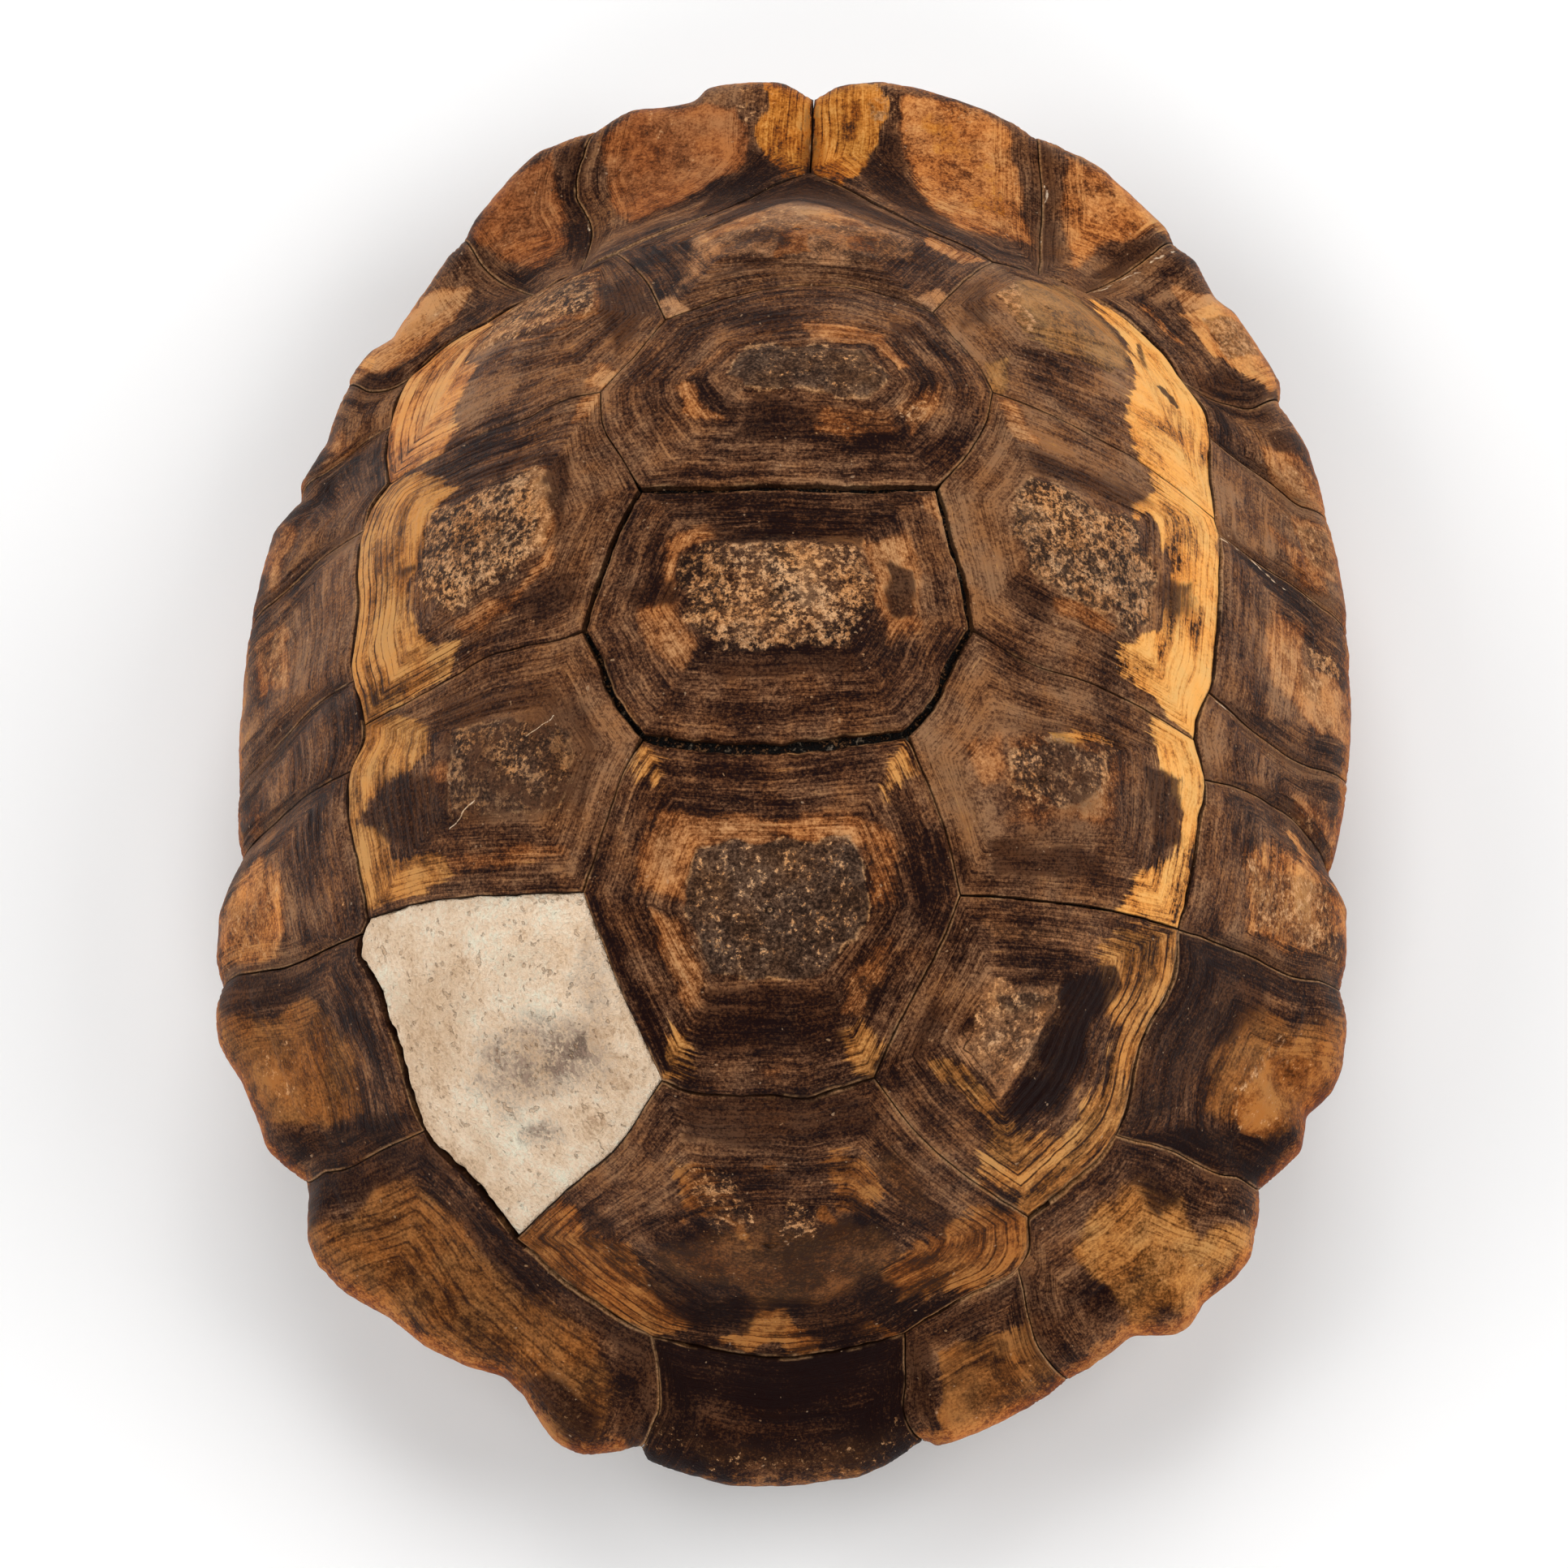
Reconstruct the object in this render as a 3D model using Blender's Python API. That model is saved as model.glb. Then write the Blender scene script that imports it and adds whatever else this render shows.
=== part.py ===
"""Dry tortoise shell: grown bone box, horn scutes on the back and on the plastron, one costal scute shed.

Head end towards +Y, crown towards +Z, standing on the flat of the plastron at z = 0.
"""

import math

import bmesh
import bpy
import numpy as np

MM = 0.001

# Driving dimensions, in millimetres and degrees
CROWN = 66.4  # height of the back without the swell of its scutes
RIM_HALF = 3.0  # half the thickness of the rounded free edge
RIM_ROUND = 0.955  # share of the radius at which the edge starts to round over
RIM_BLEND = 0.78  # share of the radius at which the scalloped outline takes over
UNDER_END = 1.13  # where the marginal scutes stop on the underside (1 is the edge itself)
HORN = 1.0  # thickness of a scute
BED = 1.8  # depth of the bone's surface under the outside of the horn
WALL = 2.6  # thickness of the bone
SEAM = 0.22  # half the gap between neighbouring scutes
CELL = 4.2  # length of a facet along the edge of the shell
SHOULDER = 0.35  # how far a scute's edge rolls down at a seam
SWELL = 0.6  # how far a scute of the back rises towards its areola
CENTRE_Y = -6.0  # the radii of the back are measured from here
FRAME_SHIFT = (0.0, -0.8, 0.0)  # moves the outline's middle to the origin

# Height of the back as a share of the way from the rim to the crown, along the radius: front, side, rear
FRONT = ((0, 1), (0.25, 0.925), (0.59, 0.63), (0.715, 0.41), (0.80, 0.16), (0.87, 0.045), (1, 0))
SIDE = ((0, 1), (0.35, 0.91), (0.60, 0.68), (0.77, 0.43), (0.90, 0.18), (1, 0))
REAR = ((0, 1), (0.15, 0.995), (0.40, 0.93), (0.62, 0.77), (0.75, 0.48), (0.84, 0.18), (1, 0))
# The underside of the free rim, in mm above the edge
EAVE = ((0.70, 5.5), (0.80, 3.5), (0.87, 2.0), (0.93, 0.8), (1, 0))
# Height of the edge around the shell: degrees from the head end, mm
RIM_HEIGHT = (
    (0, 22), (35, 18), (60, 15), (90, 15), (120, 14), (150, 14.5), (180, 15),
    (210, 14.5), (240, 14), (270, 15), (300, 15), (325, 18), (360, 22),
)
# Even outline under the scallops: radius every 15 degrees from the head end, clockwise from above
ROUND_OUTLINE = (
    79.5, 79, 75, 69.5, 64, 59, 56.5, 58, 60, 62.5, 63, 64.5,
    66, 65, 63, 61.5, 60, 58, 56, 57.5, 61, 65.5, 71.5, 77.5,
)

# The scalloped edge, hand-chosen points in plan, clockwise from the notch at the front
EDGE = (
    (2, 72), (4.5, 73.5), (9, 74), (14, 73), (20, 71), (24.5, 68.5), (31, 65.5), (36.5, 60.5), (38.5, 58.5),
    (39, 57), (41, 55.5), (43, 51.5), (45, 50), (48, 45.5), (50, 42), (49.5, 40.5), (52.5, 35.5), (54.5, 28),
    (56, 20), (56.5, 12), (56.5, 5), (56, -2), (54.5, -9), (54.5, -10), (56, -13), (56, -18), (55.5, -21.5),
    (56, -25), (55.5, -29.5), (54.5, -32), (52, -34.5), (51.5, -38), (49.5, -40), (47.5, -42), (47, -46),
    (46.5, -49), (45, -51), (42, -53.5), (40.5, -56), (39, -57), (35, -57), (32.5, -59), (29, -61.5),
    (25.5, -64), (20, -67), (16, -68.5), (14.5, -68), (11.5, -70), (8.5, -71.5), (1, -72.5), (-4, -72.5),
    (-9.5, -71), (-12.5, -70), (-13, -68.5), (-15, -69), (-18.5, -69.5), (-20, -69), (-22, -67.5),
    (-24.5, -63.5), (-26.5, -61.5), (-30, -60.5), (-35, -58), (-38, -55.5), (-42.5, -53), (-45.5, -50),
    (-46.5, -47.5), (-46.5, -43), (-47, -41.5), (-49.5, -39.5), (-51, -38), (-51.5, -36), (-53.5, -31.5),
    (-56, -27.5), (-56.5, -24), (-56, -21.5), (-56.5, -19), (-56.5, -14), (-55.5, -11), (-54.5, -8.5),
    (-55, 1), (-55, 10), (-54, 20.5), (-52.5, 27), (-50, 30), (-50, 32), (-47.5, 36), (-45.5, 42), (-45, 43.5),
    (-43, 46), (-41, 47), (-37.5, 52.5), (-35, 56.5), (-34, 57.5), (-33, 59.5), (-29, 64.5), (-26.5, 67),
    (-20, 69.5), (-16.5, 71.5), (-13.5, 71.5), (-10.5, 72), (-9.5, 72.5), (-9.5, 73.5), (-6.5, 74), (-1.5, 74),
)

# Seams between the scutes of the back, hand-chosen points in plan. v vertebral, c costal, m marginal,
# s supracaudal, r right, l left. The place of the shed costal is c4l.
SEAMS = {
    "v1_v2": ((-10.5, 34), (-8, 35), (-4, 36.5), (0, 37.5), (4, 38), (7.5, 38), (11.5, 37), (15.5, 35.5)),
    "v2_v3": ((-12, 13), (-7, 12.5), (1, 12.5), (8.5, 12.5), (16.5, 13.5)),
    "v3_v4": ((-11, -13.5), (-6.5, -14.5), (1.5, -15), (9, -14), (14, -13)),
    "v4_v5": ((-9, -44.5), (-6.5, -45.5), (-2.5, -46), (1, -46), (5, -46), (8, -45), (11, -44)),
    "v1_c1r": ((21, 46), (18, 40.5), (15.5, 35.5)),
    "v2_c1r": ((15.5, 35.5), (18, 32), (20.5, 28.5), (21.5, 26)),
    "v2_c2r": ((21.5, 26), (21, 22.5), (19, 17.5), (16.5, 13.5)),
    "v3_c2r": ((16.5, 13.5), (17.5, 9), (19, 3.5), (20, -1.5)),
    "v3_c3r": ((20, -1.5), (18, -5.5), (16.5, -9.5), (14, -13)),
    "v4_c3r": ((14, -13), (16, -17.5), (17.5, -21.5), (19, -27.5)),
    "v4_c4r": ((19, -27.5), (17.5, -31.5), (15, -36.5), (12.5, -41), (11, -44)),
    "v5_c4r": ((11, -44), (15, -47.5), (20, -49.5), (25, -50.5)),
    "v1_c1l": ((-16.5, 47), (-12.5, 39.5), (-10.5, 34)),
    "v2_c1l": ((-10.5, 34), (-13, 30), (-16.5, 25.5)),
    "v2_c2l": ((-16.5, 25.5), (-16, 21), (-14, 17), (-12, 13)),
    "v3_c2l": ((-12, 13), (-14, 8.5), (-15.5, 3.5), (-17, -2)),
    "v3_c3l": ((-17, -2), (-15.5, -5), (-14, -9), (-11, -13.5)),
    "v4_c3l": ((-11, -13.5), (-13, -17.5), (-14.5, -22), (-16.5, -27.5)),
    "v4_c4l": ((-16.5, -27.5), (-15, -31.5), (-13.5, -35.5), (-11, -40.5), (-9, -44.5)),
    "v5_c4l": ((-9, -44.5), (-13.5, -48.5), (-19, -50.5), (-24.5, -52)),
    "c1_c2r": ((21.5, 26), (25, 25.5), (29, 24.5), (33, 23.5), (37, 22.5), (40, 21.5), (43, 20.5)),
    "c2_c3r": ((20, -1.5), (24.5, -3.5), (31.5, -4), (35.5, -4.5), (41, -5.5)),
    "c3_c4r": ((19, -27.5), (27, -26.5), (35.5, -25), (39.5, -24.5)),
    "c1_c2l": ((-16.5, 25.5), (-19.5, 25.5), (-24, 24.5), (-28, 24.5), (-33, 24), (-39, 24.5)),
    "c2_c3l": ((-17, -2), (-19, -2.5), (-23, -2.5), (-26.5, -2.5), (-30, -3.5), (-33, -4), (-39.5, -4.5)),
    "c3_c4l": ((-16.5, -27.5), (-24, -26.5), (-29, -25.5), (-34.5, -24.5), (-38.5, -24)),
    # The ring between the marginals and the rest, clockwise from the front
    "v1_mr": ((2, 61.5), (6.5, 58), (11, 53), (15, 49), (18.5, 47.5), (21, 46)),
    "c1r_m": ((21, 46), (24, 47), (25.5, 47.5), (30, 47), (33.5, 45), (36, 43), (38.5, 40.5), (40, 38),
              (42, 35), (42.5, 31.5), (42.5, 26), (43, 20.5)),
    "c2r_m": ((43, 20.5), (43.5, 19), (43.5, 14.5), (43.5, 10), (43, 5), (42.5, 0), (41.5, -2.5), (41, -5.5)),
    "c3r_m": ((41, -5.5), (42, -9), (41.5, -13.5), (41, -17.5), (39.5, -24.5)),
    "c4r_m": ((39.5, -24.5), (39, -28.5), (36, -35), (33.5, -43), (29, -47.5), (25, -50.5)),
    "v5_mr": ((25, -50.5), (25, -52.5), (24, -54), (19.5, -56.5), (13, -60)),
    "v5_s": ((13, -60), (8, -61.5), (0, -62.5), (-7.5, -61.5), (-11.5, -60.5)),
    "v5_ml": ((-11.5, -60.5), (-15.5, -58.5), (-19.5, -56), (-22.5, -53.5), (-24.5, -52)),
    "c4l_m": ((-24.5, -52), (-29, -47), (-33.5, -42.5), (-35.5, -36.5), (-37.5, -31), (-39.5, -25), (-38.5, -24)),
    "c3l_m": ((-38.5, -24), (-39.5, -19), (-41, -12.5), (-41, -8.5), (-39.5, -6), (-39.5, -4.5)),
    "c2l_m": ((-39.5, -4.5), (-40, -2), (-41, 1), (-41, 9.5), (-41.5, 14.5), (-41.5, 20), (-40.5, 23),
              (-39, 24.5)),
    "c1l_m": ((-39, 24.5), (-40, 30), (-40, 34), (-39.5, 37), (-38.5, 40), (-37, 41.5), (-34, 43.5),
              (-30.5, 44.5), (-25.5, 46.5), (-20.5, 47), (-16.5, 47)),
    "v1_ml": ((-16.5, 47), (-12, 49.5), (-8, 52), (-4.5, 56), (-1, 59.5), (2, 61.5)),
}
RING = (
    "v1_mr", "c1r_m", "c2r_m", "c3r_m", "c4r_m", "v5_mr", "v5_s", "v5_ml", "c4l_m", "c3l_m", "c2l_m", "c1l_m",
    "v1_ml",
)

# Each scute of the back: the seams around it, and its areola, the plate it hatched with
BACK_SCUTES = {
    "vertebral_scute_1": (("v1_mr", "v1_c1r", "v1_v2", "v1_c1l", "v1_ml"), (2, 47)),
    "vertebral_scute_2": (("v1_v2", "v2_c1r", "v2_c2r", "v2_v3", "v2_c2l", "v2_c1l"), (2, 27)),
    "vertebral_scute_3": (("v2_v3", "v3_c2r", "v3_c3r", "v3_v4", "v3_c3l", "v3_c2l"), (1.5, 1)),
    "vertebral_scute_4": (("v3_v4", "v4_c3r", "v4_c4r", "v4_v5", "v4_c4l", "v4_c3l"), (1, -29)),
    "vertebral_scute_5": (("v4_v5", "v5_c4r", "v5_mr", "v5_s", "v5_ml", "v5_c4l"), (1, -55)),
    "costal_scute_right_1": (("v1_c1r", "c1r_m", "c1_c2r", "v2_c1r"), (30, 37)),
    "costal_scute_right_2": (("c1_c2r", "c2r_m", "c2_c3r", "v3_c2r", "v2_c2r"), (30, 11)),
    "costal_scute_right_3": (("c2_c3r", "c3r_m", "c3_c4r", "v4_c3r", "v3_c3r"), (29, -15)),
    "costal_scute_right_4": (("c3_c4r", "c4r_m", "v5_c4r", "v4_c4r"), (25, -37)),
    "costal_scute_left_1": (("v1_c1l", "v2_c1l", "c1_c2l", "c1l_m"), (-25, 36)),
    "costal_scute_left_2": (("c1_c2l", "v2_c2l", "v3_c2l", "c2_c3l", "c2l_m"), (-26, 11)),
    "costal_scute_left_3": (("c2_c3l", "v3_c3l", "v4_c3l", "c3_c4l", "c3l_m"), (-26, -14)),
}

# Seams between the marginals, from the ring out to the edge, clockwise from the notch at the front
EDGE_SEAMS = (
    ((2, 61.5), (2, 66.5), (2, 72)),
    ((25.5, 47.5), (25.5, 54.5), (25.5, 61.5), (24.5, 68.5)),
    ((30, 47), (35, 52.5), (39, 57)),
    ((40, 38), (43.5, 37), (46.5, 37.5), (49.5, 40.5)),
    ((42.5, 31.5), (45.5, 30), (48.5, 29), (51.5, 27.5), (54.5, 28)),
    ((43.5, 19), (46.5, 18), (50, 17.5), (56, 15.5)),
    ((42.5, 0), (47, -1.5), (52, -1.5), (56, 0)),
    ((42, -9), (48, -7.5), (51, -7.5), (54.5, -10)),
    ((39.5, -24.5), (47, -23.5), (51, -23.5), (55.5, -21.5)),
    ((33.5, -43), (39, -42.5), (43, -43), (47.5, -42)),
    ((24, -54), (25, -57.5), (26, -60), (28.5, -61.5)),
    ((13, -60), (13, -63.5), (13, -66.5), (14.5, -68)),
    ((-11.5, -60.5), (-11, -63.5), (-11, -66.5), (-13, -68.5)),
    ((-33.5, -42.5), (-38, -42.5), (-42, -43), (-47, -41.5)),
    ((-39.5, -25), (-43.5, -24.5), (-48, -24), (-56, -21.5)),
    ((-41, -8.5), (-47.5, -8), (-51, -8), (-54.5, -8.5)),
    ((-41, 1), (-44.5, 1), (-50, 0), (-55, -1.5)),
    ((-41.5, 20), (-46, 19.5), (-50.5, 17.5), (-54.5, 16)),
    ((-40, 34), (-42.5, 33.5), (-46, 31.5), (-50, 30)),
    ((-38.5, 40), (-39.5, 39.5), (-42, 39.5), (-45.5, 42)),
    ((-25.5, 46.5), (-31, 52.5), (-34, 57.5)),
    ((-20.5, 47), (-20.5, 57), (-22, 60.5), (-20, 69.5)),
)
# The last two marginals of the left side grew as one long scute, so the left side has ten
EDGE_SCUTES = (
    *[f"marginal_scute_right_{n}" for n in range(1, 12)],
    "supracaudal_scute",
    *[f"marginal_scute_left_{n}" for n in range(10, 0, -1)],
)

# The plastron, right half in plan; the left half mirrors it
PLASTRON = {
    "gular": ((0.0, 62), (6, 62.5), (11.5, 61), (15, 57.5), (7.5, 52.5), (0.0, 49)),
    "humeral": ((0.0, 49), (7.5, 52.5), (15, 57.5), (22, 56), (28, 49.5), (31, 40), (35, 33.5), (20, 31.5),
                (0.0, 33)),
    "pectoral": ((0.0, 33), (20, 31.5), (35, 33.5), (41, 31), (46.5, 27), (47.5, 20), (38, 21.5), (30, 23),
                 (0.0, 25)),
    "abdominal": ((0.0, 25), (30, 23), (38, 21.5), (47.5, 20), (48.5, 12), (48.5, 2), (47, -6.5), (41, -12),
                  (35, -14.5), (15, -13), (0.0, -14)),
    "femoral": ((0.0, -14), (15, -13), (35, -14.5), (32.5, -25), (30.5, -35), (26, -42), (14, -37),
                (0.0, -35)),
    "anal": ((0.0, -35), (14, -37), (26, -42), (20, -49.5), (12, -53), (6, -51.5), (0.0, -47.5)),
}
# The plastron's bone: right half of its outline. Its wings run into the bridges.
PLASTRON_BONE = (
    (0.0, 61.6), (6, 62.1), (11.5, 60.6), (22, 55.6), (27.6, 49.3), (30.6, 40), (35, 32.8), (42, 31.5),
    (49, 27), (50.5, 18), (51, 8), (50.8, 0), (49, -7.5), (41.5, -12.6), (34.6, -15.2), (32.1, -25),
    (30.1, -35), (25.6, -42), (19.8, -49), (12, -52.5), (6, -51), (0.0, -47),
)


def curve(table, x):
    """A smooth curve through a short table of (position, value), level at its first point."""
    at, value = np.asarray(table, float).T
    slope = np.gradient(value, at)
    slope[0] = 0
    i = np.clip(np.searchsorted(at, x, side="right") - 1, 0, len(at) - 2)
    step = at[i + 1] - at[i]
    t = np.clip((x - at[i]) / step, 0, 1)
    first = value[i] * (1 + 2 * t) * (1 - t) ** 2 + slope[i] * step * t * (1 - t) ** 2
    return first + value[i + 1] * t * t * (3 - 2 * t) + slope[i + 1] * step * t * t * (t - 1)


def polar(points):
    """Degrees from the head end, clockwise from above, and distance from the middle of the back."""
    x, y = np.asarray(points, float).T
    return np.degrees(np.arctan2(x, y - CENTRE_Y)) % 360, np.hypot(x, y - CENTRE_Y)


def around(points):
    """The outline as a function of the angle."""
    angle, distance = polar(points)
    order = np.argsort(angle)
    angle, distance = angle[order], distance[order]
    at = np.concatenate([angle[-1:] - 360, angle, angle[:1] + 360])
    value = np.concatenate([distance[-1:], distance, distance[:1]])
    return lambda a: np.interp(np.asarray(a, float) % 360, at, value)


edge_radius = around(EDGE)
ring_distance = around([point for name in RING for point in SEAMS[name][:-1]])


def round_radius(angle):
    """The even outline, with the half-way points of each 15 degrees smoothed by a cosine."""
    place = (np.asarray(angle, float) % 360) / 15
    i = place.astype(int) % 24
    part = place - np.floor(place)
    part = part * part * (3 - 2 * part) * 0.5 + part * 0.5
    table = np.asarray(ROUND_OUTLINE, float)
    return table[i] * (1 - part) + table[(i + 1) % 24] * part


def radius(angle, share, edge=edge_radius):
    """The outline that the given share of the radius follows: even on the dome, scalloped at the edge."""
    part = np.clip((share - RIM_BLEND) / (1 - RIM_BLEND), 0, 1)
    part = part * part * (3 - 2 * part)
    return round_radius(angle) * (1 - part) + edge(angle) * part


def share_of(points):
    """The angle and the share of the radius of plan points."""
    angle, distance = polar(points)
    share = distance / round_radius(angle)
    for _ in range(8):
        share = distance / radius(angle, share)
    return angle, share


def bone_edge(angle):
    """The bone's own edge: inside the deepest notches of the horn near each angle."""
    steps = np.arange(-8, 9)
    return np.min([edge_radius(angle + step) + 0.06 * abs(step) for step in steps], axis=0) - 0.8


def keel(share):
    """How far the plastron has risen on its way to the rim: flat in the middle, steep at the bridge."""
    return np.clip((share - 0.5) / (RIM_ROUND - 0.5), 0, 1) ** 4


def bridge_part(angle):
    """1 where the flanks join the plastron, 0 along the free rim."""
    side = np.minimum(np.asarray(angle, float) % 360, 360 - np.asarray(angle, float) % 360)
    rise = np.clip((side - 41) / 15, 0, 1)
    fall = np.clip((103 - side) / 15, 0, 1)
    part = np.minimum(rise, fall)
    return part * part * (3 - 2 * part)


def on_skin(angle, share, outline=edge_radius):
    """The outside of the shell. The share runs 0 at the crown, 1 at the edge, above 1 on the underside."""
    turn = np.clip((share - RIM_ROUND) / (1 - RIM_ROUND), 0, 2) * math.pi / 2
    inward = np.where(share > 1, 2 - share, share)
    part = np.where(
        (share > RIM_ROUND) & (share < 2 - RIM_ROUND), RIM_ROUND + (1 - RIM_ROUND) * np.sin(turn), inward
    )
    fore = np.cos(np.radians(angle))
    front, rear = np.where(fore > 0, fore**2, 0), np.where(fore > 0, 0, fore**2)
    height = front * curve(FRONT, part) + rear * curve(REAR, part) + (1 - fore**2) * curve(SIDE, part)
    edge = curve(RIM_HEIGHT, np.asarray(angle, float) % 360)
    above = edge + (CROWN - RIM_HALF - edge) * height
    joined = RIM_HALF + (edge - RIM_HALF) * keel(part)
    free = edge + curve(EAVE, part)
    bridge = bridge_part(angle)
    middle = np.where(share > 1, bridge * joined + (1 - bridge) * free, above)
    distance = part * radius(angle, part, outline)
    turned = np.radians(angle)
    return np.stack(
        [
            distance * np.sin(turned),
            CENTRE_Y + distance * np.cos(turned),
            middle + RIM_HALF * np.cos(turn),
        ],
        axis=-1,
    )


def skin(angle, share, depth, outline=edge_radius):
    """A point the given depth under the outside of the shell, along its normal."""
    angle, share = np.broadcast_arrays(np.asarray(angle, float), np.asarray(share, float))
    at = np.maximum(share, 0.02)
    around_it = on_skin(angle + 0.4, at, outline) - on_skin(angle - 0.4, at, outline)
    along = on_skin(angle, at + 0.004, outline) - on_skin(angle, at - 0.004, outline)
    normal = np.cross(around_it, along)
    normal /= np.linalg.norm(normal, axis=-1, keepdims=True)
    return on_skin(angle, share, outline) - normal * np.asarray(depth, float)[..., None]


def plate(points, depth):
    """A point the given depth above the plastron's underside, along its normal."""

    def height(place):
        angle, share = share_of(place)
        edge = curve(RIM_HEIGHT, angle)
        return (edge - RIM_HALF) * keel(share) * (0.5 + 0.5 * bridge_part(angle))

    points = np.asarray(points, float)
    slope_x = (height(points + (0.05, 0)) - height(points - (0.05, 0))) / 0.1
    slope_y = (height(points + (0, 0.05)) - height(points - (0, 0.05))) / 0.1
    normal = np.stack([slope_x, slope_y, -np.ones_like(slope_x)], axis=-1)
    normal /= np.linalg.norm(normal, axis=-1, keepdims=True)
    below = np.concatenate([points, height(points)[..., None]], axis=-1)
    return below - normal * np.asarray(depth, float)[..., None]


def held_in(points, most):
    """The points, with those too near the rim drawn in along their radius."""
    angle, share = share_of(points)
    part = np.minimum(share, most)
    distance = part * radius(angle, part)
    turned = np.radians(angle)
    return np.stack([distance * np.sin(turned), CENTRE_Y + distance * np.cos(turned)], axis=1)


def chain(names):
    """The outline made by following seams end to end."""
    parts = [list(SEAMS[name]) for name in names]
    if parts[0][-1] not in (parts[1][0], parts[1][-1]):
        parts[0].reverse()
    outline = parts[0][:-1]
    end = parts[0][-1]
    for part in parts[1:]:
        if part[0] != end:
            part.reverse()
        outline += part[:-1]
        end = part[-1]
    return outline


def inset(outline, gap):
    """The outline, counter-clockwise, moved inwards by the gap."""
    points = np.asarray(outline, float)
    ahead = np.roll(points, -1, axis=0)
    if (points[:, 0] * ahead[:, 1] - ahead[:, 0] * points[:, 1]).sum() < 0:
        points = points[::-1]
    side = np.roll(points, -1, axis=0) - points
    side /= np.linalg.norm(side, axis=1, keepdims=True)
    inward = np.stack([-side[:, 1], side[:, 0]], axis=1)
    before = np.roll(inward, 1, axis=0)
    both = before + inward
    both /= np.maximum((both * inward).sum(axis=1, keepdims=True), 0.35)
    return points + both * gap


def material(name, colour, roughness):
    made = bpy.data.materials.new(name)
    made.use_nodes = True
    shader = made.node_tree.nodes["Principled BSDF"]
    shader.inputs["Base Color"].default_value = (*colour, 1)
    shader.inputs["Roughness"].default_value = roughness
    return made


def finish(name, mesh_source, home, look):
    """Makes the object from a bmesh in millimetres about the shell's own middle."""
    for vertex in mesh_source.verts:
        vertex.co = [(value + shift) * MM for value, shift in zip(vertex.co, FRAME_SHIFT)]
    mesh = bpy.data.meshes.new(name)
    mesh_source.to_mesh(mesh)
    mesh_source.free()
    made = bpy.data.objects.new(name, mesh)
    mesh.materials.append(look)
    home.objects.link(made)
    return made


def round_piece(name, segments, rows, home, look):
    """A closed piece from a sphere. Rows hold the points of each ring, from the top pole to the bottom pole."""
    ball = bmesh.new()
    bmesh.ops.create_uvsphere(ball, u_segments=segments, v_segments=len(rows) - 1, radius=1)
    for vertex in ball.verts:
        x, y, z = vertex.co
        row = round(math.acos(max(-1, min(1, z))) / math.pi * (len(rows) - 1))
        column = round(math.atan2(y, x) / (2 * math.pi) * segments) % segments
        points = rows[row]
        vertex.co = points[column % len(points)]
    return finish(name, ball, home, look)


def scute_from(name, outline, areola, lower, home, look):
    """A scute as a sphere whose upper half is one face of the horn and whose lower half is the other."""
    middle = np.asarray(areola, float)
    if lower:
        steps = ((0.0, HORN), (0.6, HORN), (1.0, HORN), (1.0, SHOULDER), (0.9, 0.0), (0.0, 0.0))
    else:
        steps = (
            (0.0, -SWELL), (0.36, -0.9 * SWELL), (0.7, -0.5 * SWELL), (0.93, 0.0), (1.0, SHOULDER),
            (1.0, HORN), (0.55, HORN), (0.0, HORN),
        )
    rows = []
    for reach, depth in steps:
        points = middle + reach * (outline - middle)
        points = points[:1] if reach == 0 else points
        if lower:
            rows.append(plate(points, np.full(len(points), depth)))
        else:
            angle, share = share_of(points)
            rows.append(skin(angle, share, np.full(len(points), depth)))
    return round_piece(name, len(outline), rows, home, look)


def edge_scute(name, start, stop, home, look):
    """A marginal: a grid from the ring, over the edge and on to the underside, then given thickness inwards."""
    sides = []
    for seam in (start, stop):
        angle, share = share_of(seam)
        angle = (angle - angle[-1] + 180) % 360 - 180 + angle[-1]
        sides.append((angle, (share - share[0]) / (share[-1] - share[0])))
    (first, first_part), (last, last_part) = sides
    last = last + 360 * (last[-1] < first[-1])
    width = math.radians(last[-1] - first[-1]) * 62
    across = max(3, round(width / CELL))
    gap = 1.7 * SEAM / width

    def place(a, line):
        a = gap + a * (1 - 2 * gap)
        inner = first[0] * (1 - a) + last[0] * a
        turned = math.radians(inner)
        reach = ring_distance(inner) + 2.3 * SEAM
        begin = share_of([(reach * math.sin(turned), CENTRE_Y + reach * math.cos(turned))])[1][0]
        share = (
            begin, begin + (RIM_ROUND - begin) / 3, begin + (RIM_ROUND - begin) * 2 / 3, RIM_ROUND, 1.0,
            2 - RIM_ROUND, 1 + UNDER_END / 2 - RIM_ROUND / 2, UNDER_END,
        )[line]
        part = min(1, (share - begin) / (1 - begin))
        return np.interp(part, first_part, first) * (1 - a) + np.interp(part, last_part, last) * a, share

    grid = bmesh.new()
    bmesh.ops.create_grid(grid, x_segments=across, y_segments=7, size=1)
    outer = list(grid.verts)
    spots = [place((v.co.x + 1) / 2, round((v.co.y + 1) / 2 * 7)) for v in outer]
    bmesh.ops.extrude_face_region(grid, geom=list(grid.faces))
    inner = [vertex for vertex in grid.verts if vertex not in set(outer)]
    angle, share = np.asarray(spots).T
    outside = skin(angle, share, np.zeros(len(share)))
    inside = skin(angle, share, np.full(len(share), HORN))
    nearest = {tuple(round(x, 4) for x in v.co): i for i, v in enumerate(outer)}
    for vertex in inner:
        vertex.index = nearest[tuple(round(x, 4) for x in vertex.co)]
    for vertex in inner:
        vertex.co = inside[vertex.index]
    for i, vertex in enumerate(outer):
        vertex.co = outside[i]
    bmesh.ops.recalc_face_normals(grid, faces=list(grid.faces))
    finish(name, grid, home, look)


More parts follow.
